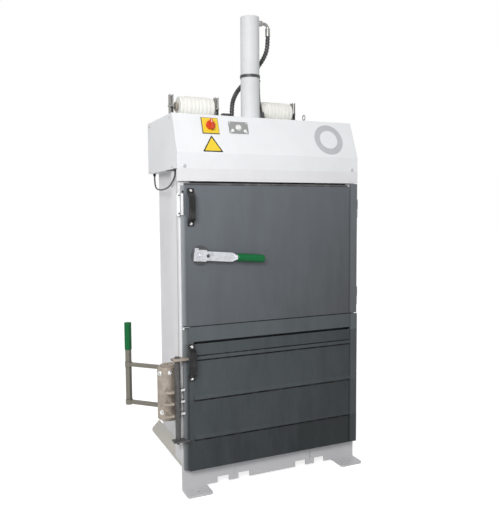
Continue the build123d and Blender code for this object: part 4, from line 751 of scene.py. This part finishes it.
screw_rise = add_node(screw_field, "ShaderNodeCombineXYZ", Z=screw_in["Washer Height"]).outputs[0]
screw_head = screw_cone("Head", screw_in["Sides"])
screw_seat = add_node(screw_field, "GeometryNodeTransform", Geometry=screw_head, Translation=screw_rise)
screw_whole = add_node(screw_field, "GeometryNodeJoinGeometry", Geometry=screw_cone("Washer", WASHER_SIDES))
screw_field.links.new(screw_seat.outputs["Geometry"], screw_whole.inputs[0])
screw_turn = add_node(screw_field, "FunctionNodeEulerToRotation")
screw_field.links.new(screw_in["Facing"], screw_turn.inputs[0])
screw_places = add_node(
    screw_field, "GeometryNodeInstanceOnPoints", Points=screw_in["Geometry"],
    Instance=screw_whole.outputs[0], Rotation=screw_turn.outputs[0],
)
screw_real = add_node(screw_field, "GeometryNodeRealizeInstances", Geometry=screw_places.outputs[0])
screw_finish = add_node(
    screw_field, "GeometryNodeSetMaterial", Geometry=screw_real.outputs[0], Material=screw_in["Finish"]
)
add_node(screw_field, "NodeGroupOutput", Geometry=screw_finish.outputs[0])


def screws(name, spots, facing, material, body, head, washer, sides=20):
    """Screw heads on the given points; head and washer are each a radius and a height."""
    seed = bpy.data.objects.new(name + "_seed", bpy.data.meshes.new(name + "_seed"))
    seed.data.from_pydata([tuple(spot) for spot in spots], [], [])
    scene.collection.objects.link(seed)
    modifier = seed.modifiers.new("screw_field", "NODES")
    modifier.node_group = screw_field
    inputs = {"Facing": facing, "Finish": material, "Sides": sides}
    for kind, (radius, height) in (("Head", head), ("Washer", washer)):
        inputs[kind + " Radius"] = radius
        inputs[kind + " Height"] = height
    for item in screw_field.interface.items_tree:
        if item.in_out == "INPUT" and item.name in inputs:
            modifier[item.identifier] = inputs[item.name]
    depsgraph = bpy.context.evaluated_depsgraph_get()
    data = bpy.data.meshes.new_from_object(seed.evaluated_get(depsgraph))
    seed.modifiers.clear()
    bpy.data.objects.remove(seed)
    data.name = name
    return finish_piece(name, data, body, 30)


FACES_FRONT = (math.pi / 2, 0, 0)
bright_steel = surface_material(
    "bright_steel", plated_steel, 0.1, 0.0002, metallic=1.0, color=(0.82, 0.82, 0.81),
    dull_color=(0.5, 0.5, 0.49), dull=0.35, rough=(0.22, 0.36),
)


# Post shade lines.
# A grey strip in the fold on the outer side of each front post, over its whole height, is painted shade.
painted_shade_grey = surface_material(
    "painted_shade_grey", moulded_grain, 0.3, 0.0004, specular=0.2, color=(0.50, 0.50, 0.51), grain_scale=1300.0,
    dust=0.2, rough=(0.5, 0.65),
)
block_piece(
    "post_shade_lines",
    [((side * 0.5352 - 0.0006, 0.086, 0.215), (0.0012, 0.012, 1.480), 0.0005) for side in (-1, 1)],
    painted_shade_grey, "frame",
)


# Hood edge shadow.
# A black strip along the lower edge of the hood's left side, in front of the cable, is painted shadow under
# the hood's edge.
block_piece(
    "hood_edge_shadow", (((-0.545, 0.052, 1.6965), (0.006, 0.190, 0.0068), 0.0012),),
    black_plastic, "frame",
)


# Hood corner bolts.
# Plated hexagon bolts with washers in the lower corners of the hood's front.
screws(
    "hood_corner_bolts", ((-0.506, 0.0432, 1.715), (0.506, 0.0432, 1.715)), FACES_FRONT, zinc, "frame",
    head=(0.0062, 0.0045), washer=(0.0092, 0.0016), sides=6,
)


# Safety switch.
# White moulded housing on the outer edge of the left post, with a dark screw at each end.
switch_shell = surface_material(
    "switch_shell", moulded_grain, 0.15, 0.0003, color=(0.86, 0.87, 0.88), grain_scale=1800.0, dust=0.03,
    rough=(0.3, 0.4),
)
dress(switch_shell, "safety_switch")
screws(
    "safety_switch_screws", ((-0.538, 0.0437, 1.472), (-0.538, 0.0437, 1.564)), FACES_FRONT, black_plastic,
    "frame", head=(0.0035, 0.0015), washer=(0.0045, 0.0008),
)


# Labels and controls on the slope.
# Thin plates lie on the hood's sloping face: a yellow plate with the main switch's knob, the grey control
# plate, a yellow triangle on a dark backing, and a ring disc.
CREASE = Vector((0, 0.045, 1.785))
SLOPE_RUN = 0.080
SLOPE_RISE = 0.208
slope_length = math.hypot(SLOPE_RUN, SLOPE_RISE)
UP_SLOPE = Vector((0, SLOPE_RUN, SLOPE_RISE)) / slope_length
OFF_SLOPE = Vector((0, -SLOPE_RISE, SLOPE_RUN)) / slope_length
FACES_SLOPE = (math.atan2(SLOPE_RISE, SLOPE_RUN), 0, 0)
SWITCH_X = -0.343
SWITCH_UP = 0.157
CONTROL_X = -0.182
CONTROL_UP = 0.153


def on_slope(x, up, off=0.0):
    """A point on the slope: across, up from the crease, and off the sheet."""
    return CREASE + Vector((x, 0, 0)) + UP_SLOPE * up + OFF_SLOPE * off


def slope_plate(shape, outline, low, high, bevel):
    """A flat plate on the slope from its outline in (across, up) points, with a bevelled front edge."""
    centre_x = sum(x for x, up in outline) / len(outline)
    centre_up = sum(up for x, up in outline) / len(outline)
    rings = []
    for off, inset in ((low, 0.0), (high - bevel, 0.0), (high, bevel)):
        ring = []
        for x, up in outline:
            away = Vector((x - centre_x, up - centre_up))
            away *= 1 - inset / max(away.length, 1e-6)
            ring.append(shape.verts.new(on_slope(centre_x + away.x, centre_up + away.y, off)))
        rings.append(ring)
    skin(shape, rings)


def rounded(corners, radius, steps=5):
    """The outline with each corner rounded by an arc-like bend."""
    outline = []
    count = len(corners)
    for i, corner in enumerate(corners):
        at = Vector(corner)
        before = (Vector(corners[i - 1]) - at).normalized() * radius
        after = (Vector(corners[(i + 1) % count]) - at).normalized() * radius
        for k in range(steps + 1):
            t = k / steps
            outline.append(tuple(at + before * (1 - t) ** 2 + after * t**2))
    return outline


yellow_enamel = surface_material(
    "yellow_enamel", powder_coat, 0.08, 0.0003, color=(0.86, 0.62, 0.03), soil_color=(0.35, 0.22, 0.05),
    soil=0.12, soil_height=2.3, scuff_color=(0.6, 0.5, 0.3), scuffs=0.1, rough=(0.3, 0.42),
)
dress(yellow_enamel, "switch_plate")


# Black rim round the yellow plate, a dark backing; it is wider on the left and at the bottom, where the extra
# width is painted shade on the plate's shadow side.
def switch_rim(shape):
    for x, up, wide, tall in (
        (-0.0478, -0.047, 0.0036, 0.094),
        (0.0444, -0.047, 0.0016, 0.094),
        (-0.0478, -0.0475, 0.0938, 0.0036),
        (-0.0478, 0.0442, 0.0938, 0.0016),
    ):
        corner = on_slope(SWITCH_X + x, SWITCH_UP + up)
        slab(shape, corner, (Vector((wide, 0, 0)), UP_SLOPE * tall, OFF_SLOPE * 0.0036), 0.0005, 1)


mesh_piece("switch_plate_shaded_rim", switch_rim, black_plastic, "frame")
red_plastic = surface_material(
    "knob_plastic", moulded_grain, 0.2, 0.0003, color=(0.62, 0.055, 0.010), grain_scale=1500.0, dust=0.06,
    rough=(0.25, 0.35),
)
dress(red_plastic, "switch_knob")


def knob_pointer(shape):
    corner = on_slope(SWITCH_X - 0.0015, SWITCH_UP + 0.006, 0.0293)
    slab(shape, corner, (Vector((0.003, 0, 0)), UP_SLOPE * 0.019, OFF_SLOPE * 0.0009), 0.0003, 1)


mesh_piece("switch_pointer", knob_pointer, switch_shell, "main_switch")

SIGN_OUTLINE = ((-0.4035, 0.006), (-0.2898, 0.006), (-0.3445, 0.1015))
SIGN_CENTRE = Vector((-0.3459, 0.0378))
SIGN_FACE_SHARE = 0.80
SIGN_BEVEL = 0.0003


def sign_backing(shape):
    slope_plate(shape, rounded(SIGN_OUTLINE, 0.006), 0.0, 0.0008, SIGN_BEVEL)


def sign_face(shape):
    inner = [SIGN_CENTRE + (Vector(corner) - SIGN_CENTRE) * SIGN_FACE_SHARE for corner in SIGN_OUTLINE]
    slope_plate(shape, rounded(inner, 0.005), 0.0006, 0.0014, SIGN_BEVEL)


mesh_piece("triangle_backing", sign_backing, black_plastic, "frame")
mesh_piece("triangle_plate", sign_face, yellow_enamel, "frame")

BADGE_X = 0.373
BADGE_UP = 0.108
badge_grey = surface_material(
    "badge_grey", powder_coat, 0.06, 0.0003, color=(0.52, 0.53, 0.55), soil_color=(0.3, 0.3, 0.3), soil=0.2,
    soil_height=2.3, scuff_color=(0.5, 0.5, 0.5), scuffs=0.05, rough=(0.3, 0.4),
)
RING_PROFILE = (
    (0, 0.092), (0.0006, 0.092), (0.0010, 0.0914), (0.0010, 0.088), (0.0006, 0.0876), (0.0006, 0.0866),
    (0.0010, 0.0862), (0.0010, 0.0612), (0.0006, 0.0606), (0.0006, 0.0594), (0.0010, 0.0588),
)
DISC_PROFILE = ((0, 0.056), (0.0006, 0.056), (0.0009, 0.0555))
for name, off, profile, segments, material in (
    ("badge_ring", 0.0, RING_PROFILE, 72, badge_grey),
    ("badge_middle", 0.0008, DISC_PROFILE, 64, hood_paint),
):
    turned = (on_slope(BADGE_X, BADGE_UP, off), OFF_SLOPE, profile, segments)
    lathe_piece(name, turned, material, "frame", 20)


# Control plate.
# It carries the round push button, a light lens in each low corner and four small screws.
light_plastic = surface_material(
    "light_plastic", moulded_grain, 0.1, 0.0002, coat=0.3, color=(0.80, 0.81, 0.80), grain_scale=2000.0,
    dust=0.04, rough=(0.2, 0.3),
)
dress(light_plastic, "start_button")
PLATE_FRONT = 0.003
LENS_PROFILE = (
    (0, 0.0095), (0.0015, 0.0095), (0.0018, 0.0085), (0.0040, 0.0076), (0.0054, 0.005), (0.0058, 0.002),
)
BEZEL_PROFILE = (
    (0, 0.0136), (0.0, 0.0175), (0.0015, 0.0175), (0.0022, 0.0168), (0.0022, 0.0142), (0.0016, 0.0136),
)


def control_lenses(shape):
    for x in (-0.036, 0.037):
        lathe(shape, on_slope(CONTROL_X + x, CONTROL_UP - 0.019, PLATE_FRONT), OFF_SLOPE, LENS_PROFILE)


mesh_piece("control_lenses", control_lenses, light_plastic, "frame")
bezel = (on_slope(CONTROL_X, CONTROL_UP, PLATE_FRONT), OFF_SLOPE, BEZEL_PROFILE, 40)
lathe_piece("button_bezel", bezel, bright_steel, "frame")
CONTROL_CORNERS = ((-0.048, -0.028), (-0.048, 0.028), (0.048, -0.028), (0.048, 0.028))
screws(
    "control_plate_screws",
    [on_slope(CONTROL_X + x, CONTROL_UP + up, PLATE_FRONT) for x, up in CONTROL_CORNERS],
    FACES_SLOPE, bright_steel, "frame", head=(0.0032, 0.0012), washer=(0.0042, 0.0005),
)


# Doors.
# Two folded pans in dark slate grey, satin paint. The lower one is darker. On both the paint darkens towards
# the floor and to the right, partly with dust where bales slide out over the lower door's edge and partly as
# painted shade; on the lower one it steps darker from bead to bead. Their liners face the chamber.
upper_paint = surface_material(
    "upper_door_paint", powder_coat, 0.08, 0.0004, coat=0.3, specular=0.4, color=(0.134, 0.151, 0.170),
    soil_color=(0.020, 0.023, 0.026), soil=0.88, soil_height=2.05, soil_lean=0.85,
    scuff_color=(0.16, 0.17, 0.18), scuffs=0.06, fold_shine=0.30, rough=(0.34, 0.42),
)
lower_paint = surface_material(
    "lower_door_paint", powder_coat, 0.08, 0.0004, specular=0.25, color=(0.117, 0.134, 0.144),
    soil_color=(0.008, 0.012, 0.013), soil=0.95, soil_height=1.08, soil_lean=0.25, soil_terraces=1.0,
    scuff_color=(0.12, 0.13, 0.13), scuffs=0.12, fold_shine=0.22, rough=(0.36, 0.46),
)
dress(upper_paint, "upper_door_panel", "upper_door_liner")
dress(lower_paint, "lower_door_panel", "lower_door_liner")


# Door seal.
# Dark rubber strip on the top edge of the upper door, which closes the gap under the lintel.
seal_rubber = surface_material(
    "seal_rubber", moulded_grain, 0.3, 0.0004, color=(0.06, 0.06, 0.062), grain_scale=1400.0, dust=0.3,
    rough=(0.5, 0.65),
)
block_piece(
    "upper_door_seal", (((-0.510, 0.038, 1.6156), (0.985, 0.020, 0.0135), 0.004, 3),),
    seal_rubber, "upper_door",
)


# Door half of the safety switch.
# White moulded actuator on the rounded edge of the upper door, beside the half on the post.
block_piece(
    "switch_actuator", (((-0.5286, 0.0330, 1.463), (0.0118, 0.0180, 0.111), 0.003, 3),),
    switch_shell, "upper_door",
)
screws(
    "switch_actuator_screw", ((-0.5215, 0.0325, 1.5835),), FACES_FRONT, black_plastic, "upper_door",
    head=(0.0042, 0.003), washer=(0.0052, 0.0012),
)


# Door beads.
# Three steel half rounds welded over the lower door's seams, in its paint. Black strips along their lower
# edges, and along the upper edge of the topmost one too, are painted shadow.
BEADS_Z = (0.288, 0.500, 0.712)
BEAD_SHADOWS = ((0.278, 0.0104), (0.490, 0.0104), (0.7033, 0.0091), (0.7235, 0.0105))
BEAD_LEFT = -0.476
BEAD_LENGTH = 0.955
BEAD_DEPTH = 0.0050
block_piece(
    "door_beads",
    [((BEAD_LEFT, 0.0172, bead_z), (BEAD_LENGTH, BEAD_DEPTH, 0.0130), 0.0026, 4) for bead_z in BEADS_Z],
    lower_paint, "lower_door",
)
shadow_black = surface_material(
    "painted_bead_shadow", moulded_grain, 0.3, 0.0004, specular=0.05, color=(0.012, 0.012, 0.013),
    grain_scale=1200.0, dust=0.1, rough=(0.5, 0.65),
)
block_piece(
    "bead_shadow_lines",
    [((BEAD_LEFT, 0.0180, shadow_z), (BEAD_LENGTH, BEAD_DEPTH, tall), 0.0012) for shadow_z, tall in BEAD_SHADOWS],
    shadow_black, "lower_door",
)


# Corner catch.
# Bright folded tip on the top left corner of the lower door that the upper door closes over.
def corner_catch(shape):
    slab(shape, (-0.5285, 0.024, 0.872), ((0.0035, 0, 0), (0, 0.026, 0), (0, 0, 0.0135)), 0.001)
    slab(shape, (-0.5285, 0.0235, 0.8835), ((0.034, -0.001, 0), (0, 0.014, 0), (0, 0, 0.0018)), 0.0006)


mesh_piece("corner_catch", corner_catch, bright_steel, "lower_door")


# Door handles.
# Black moulded bridge handles, each held by a bright bolt through either foot.
dress(black_plastic, "upper_door_handle", "lower_door_handle")
HANDLE_HALF = 0.083
HANDLE_FOOT = 0.0105
for side, body, x, face_y, z in (
    ("upper", "upper_door", -0.484, 0.026, 1.504),
    ("lower", "lower_door", -0.491, 0.020, 0.700),
):
    screws(
        side + "_handle_bolts", [(x, face_y - HANDLE_FOOT, z + end * HANDLE_HALF) for end in (-1, 1)],
        FACES_FRONT, bright_steel, body, head=(0.0062, 0.004), washer=(0.0085, 0.0014),
    )


# Upper latch.
# Dark disc on the door, plated lever with a clevis head, and a dipped green grip on its end.
latch_steel = surface_material(
    "latch_plate", plated_steel, 0.2, 0.0004, metallic=0.85, color=(0.68, 0.70, 0.73),
    dull_color=(0.34, 0.35, 0.37), dull=0.6, rough=(0.3, 0.46),
)
dress(latch_steel, "latch_lever")
dress(black_steel, "latch_disc")
green_grip = surface_material(
    "green_grip", moulded_grain, 0.2, 0.0003, specular=0.2, color=(0.002, 0.125, 0.034), grain_scale=900.0,
    dust=0.02, rough=(0.3, 0.42),
)
dress(green_grip, "latch_grip", "lever_grip")
LATCH_TURN = Matrix.Rotation(math.radians(4.5), 4, "Y")
LATCH_CENTRE = Vector((-0.432, 0, 1.255))
NECK_SIDES = 28
NECK_SECTIONS = (
    (0.159, 0.0236, 0.0042, 7.0),
    (0.168, 0.0236, 0.0048, 6.0),
    (0.176, 0.0215, 0.0070, 3.5),
    (0.184, 0.0175, 0.0105, 2.4),
    (0.191, 0.0150, 0.0130, 2.0),
    (0.198, 0.0145, 0.0138, 2.0),
)


def latch_neck(shape):
    """The flat lever drawn round into the tang: reach, half height, half depth and squareness."""
    rings = []
    for reach, tall, deep, square in NECK_SECTIONS:
        ring = []
        for turn in turns(NECK_SIDES):
            across, up = math.cos(turn), math.sin(turn)
            across = math.copysign(abs(across) ** (2 / square), across)
            up = math.copysign(abs(up) ** (2 / square), up)
            at = LATCH_TURN @ Vector((reach, 0.0012 + across * deep, up * tall))
            ring.append(shape.verts.new(LATCH_CENTRE + at))
        rings.append(ring)
    skin(shape, rings)


mesh_piece("latch_neck", latch_neck, latch_steel, "latch")
screws(
    "latch_centre_bolt", ((-0.440, -0.0103, 1.2556),), FACES_FRONT, latch_steel, "latch",
    head=(0.0075, 0.005), washer=(0.0095, 0.0008), sides=6,
)
screws(
    "latch_lock_screw", ((-0.4000, -0.0033, 1.2525),), FACES_FRONT, black_steel, "latch",
    head=(0.0075, 0.004), washer=(0.0095, 0.001), sides=6,
)


# Side lock.
# Cast hub with three claws, the square lever frame welded to it, and the rod on the door that the claws
# hold. The casting is bare and tanned with oil and dust; the lever keeps an olive grey primer.
bare_cast = surface_material(
    "hub_casting", plated_steel, 0.6, 0.0012, metallic=0.25, color=(0.43, 0.37, 0.31),
    dull_color=(0.26, 0.215, 0.17), dull=0.8, rough=(0.42, 0.62),
)
dress(bare_cast, "lock_hub", "lock_carrier")
primer = surface_material(
    "lever_primer", powder_coat, 0.2, 0.0005, metallic=0.2, color=(0.20, 0.19, 0.16),
    soil_color=(0.17, 0.15, 0.12), soil=0.5, soil_height=1.2, scuff_color=(0.5, 0.48, 0.42), scuffs=0.3,
    rough=(0.38, 0.55),
)
dress(primer, "lever_frame")
for index, (x, y, z, turn) in enumerate(
    ((-0.6398, 0.0978, 0.641, -1.110), (-0.5895, 0.0703, 0.645, 0.110), (-0.6332, 0.0878, 0.434, -0.871))
):
    screws(
        f"hub_bolt_{index + 1}", ((x, y, z),), (math.pi / 2, 0, turn), bright_steel, "side_lock",
        head=(0.0085, 0.006), washer=(0.0135, 0.003), sides=6,
    )

# Bright zinc plates on the front faces of the door's three lugs are a painted highlight of their lit faces.
LUGS_Z = (0.432, 0.496, 0.557)
block_piece(
    "lug_highlight_plates",
    [((-0.5455, 0.0312, lug_z - 0.0066), (0.0225, 0.0020, 0.0132), 0.0009) for lug_z in LUGS_Z],
    zinc, "lower_door",
)
block_piece(
    "lock_bracket_cover",
    (
        ((-0.592, 0.0088, 0.7232), (0.0855, 0.047, 0.0024), 0.001),
        ((-0.592, 0.0086, 0.7155), (0.0855, 0.0016, 0.0095), 0.0007),
    ),
    bare_cast, "lower_door",
)
rod_steel = surface_material(
    "rod_steel", plated_steel, 0.15, 0.0003, metallic=0.3, color=(0.085, 0.083, 0.083),
    dull_color=(0.05, 0.047, 0.045), dull=0.5, rough=(0.35, 0.5),
)
dress(rod_steel, "lock_rod")


# Bale chamber and ram.
# Worn bare plate on the floor and the press plate, which cardboard keeps polished, and a hard chromed rod.
worn_plate = surface_material(
    "worn_plate", plated_steel, 0.25, 0.0005, metallic=0.7, color=(0.42, 0.42, 0.42),
    dull_color=(0.2, 0.17, 0.14), dull=0.6, rough=(0.35, 0.55),
)
dress(worn_plate, "floor_plate", "press_plate")
chrome = surface_material(
    "hard_chrome", plated_steel, 0.03, 0.0001, metallic=1.0, color=(0.85, 0.86, 0.88),
    dull_color=(0.6, 0.61, 0.62), dull=0.15, rough=(0.08, 0.16),
)
dress(chrome, "piston_rod")


# Studio.
# Pale floor, an even grey white sky that the camera and the metal see as plain white, a large soft lamp
# high on the left front and a weaker one on the right.
WHITE = (1, 1, 1, 1)
SKY_LEVEL = 0.50
SEEN_LEVEL = 1.0
KEY_POWER = 118.0
FILL_POWER = 8.0
FLOOR_LIFT = 0.78
FLOOR_RADIUS = 40
FLOOR_SIDES = 64

studio = bpy.data.worlds.new("studio")
studio.use_nodes = True
sky = studio.node_tree
sky.nodes.clear()


def seen_rays(tree):
    """1 for rays from the camera, a mirror or a glass, 0 for light on the object."""
    rays = add_node(tree, "ShaderNodeLightPath")
    mirrored = arithmetic(tree, "MAXIMUM", rays.outputs["Is Glossy Ray"], rays.outputs["Is Transmission Ray"])
    return arithmetic(tree, "MAXIMUM", rays.outputs["Is Camera Ray"], mirrored)


sky_mix = add_node(sky, "ShaderNodeMixShader")
sky.links.new(seen_rays(sky), sky_mix.inputs[0])
for index, strength in ((1, SKY_LEVEL), (2, SEEN_LEVEL)):
    sky_part = add_node(sky, "ShaderNodeBackground", Color=WHITE, Strength=strength)
    sky.links.new(sky_part.outputs[0], sky_mix.inputs[index])
add_node(sky, "ShaderNodeOutputWorld", Surface=sky_mix.outputs[0])
scene.world = studio

floor_material = bpy.data.materials.new("pale_floor")
floor_material.use_nodes = True
floor_tree = floor_material.node_tree
floor_shader = floor_tree.nodes["Principled BSDF"]
floor_place = add_node(floor_tree, "ShaderNodeTexCoord").outputs["Object"]
floor_cloud = noise(floor_tree, floor_place, 1.5, 3, 0.5)
for socket, part in (
    ("Base Color", mix_colour(floor_tree, floor_cloud, (0.50, 0.50, 0.50, 1), (0.54, 0.54, 0.54, 1))),
    ("Roughness", 0.9),
    ("Specular IOR Level", 0.1),
    ("Emission Color", WHITE),
    ("Emission Strength", arithmetic(floor_tree, "MULTIPLY", seen_rays(floor_tree), FLOOR_LIFT)),
):
    feed(floor_tree, part, floor_shader.inputs[socket])

floor_ring = [
    (FLOOR_RADIUS * math.cos(turn), FLOOR_RADIUS * math.sin(turn), 0) for turn in turns(FLOOR_SIDES)
]
floor_data = bpy.data.meshes.new("studio_floor")
floor_data.from_pydata(floor_ring, [], [range(FLOOR_SIDES)])
floor_data.materials.append(floor_material)
floor = bpy.data.objects.new("studio_floor", floor_data)
scene.collection.objects.link(floor)


def lamp(name, place, aim, wide, tall, power):
    """A soft rectangular lamp that points at a spot."""
    data = bpy.data.lights.new(name, "AREA")
    data.shape = "RECTANGLE"
    data.size = wide
    data.size_y = tall
    data.energy = power
    light = bpy.data.objects.new(name, data)
    turn = (Vector(aim) - Vector(place)).to_track_quat("-Z", "Y")
    light.matrix_world = Matrix.Translation(place) @ turn.to_matrix().to_4x4()
    scene.collection.objects.link(light)


lamp("key_lamp", (-2.4, -2.8, 2.9), (0, 0.2, 1.5), 2.0, 1.4, KEY_POWER)
lamp("fill_lamp", (3.2, -2.4, 3.0), (0, 0.2, 1.2), 2.0, 2.0, FILL_POWER)
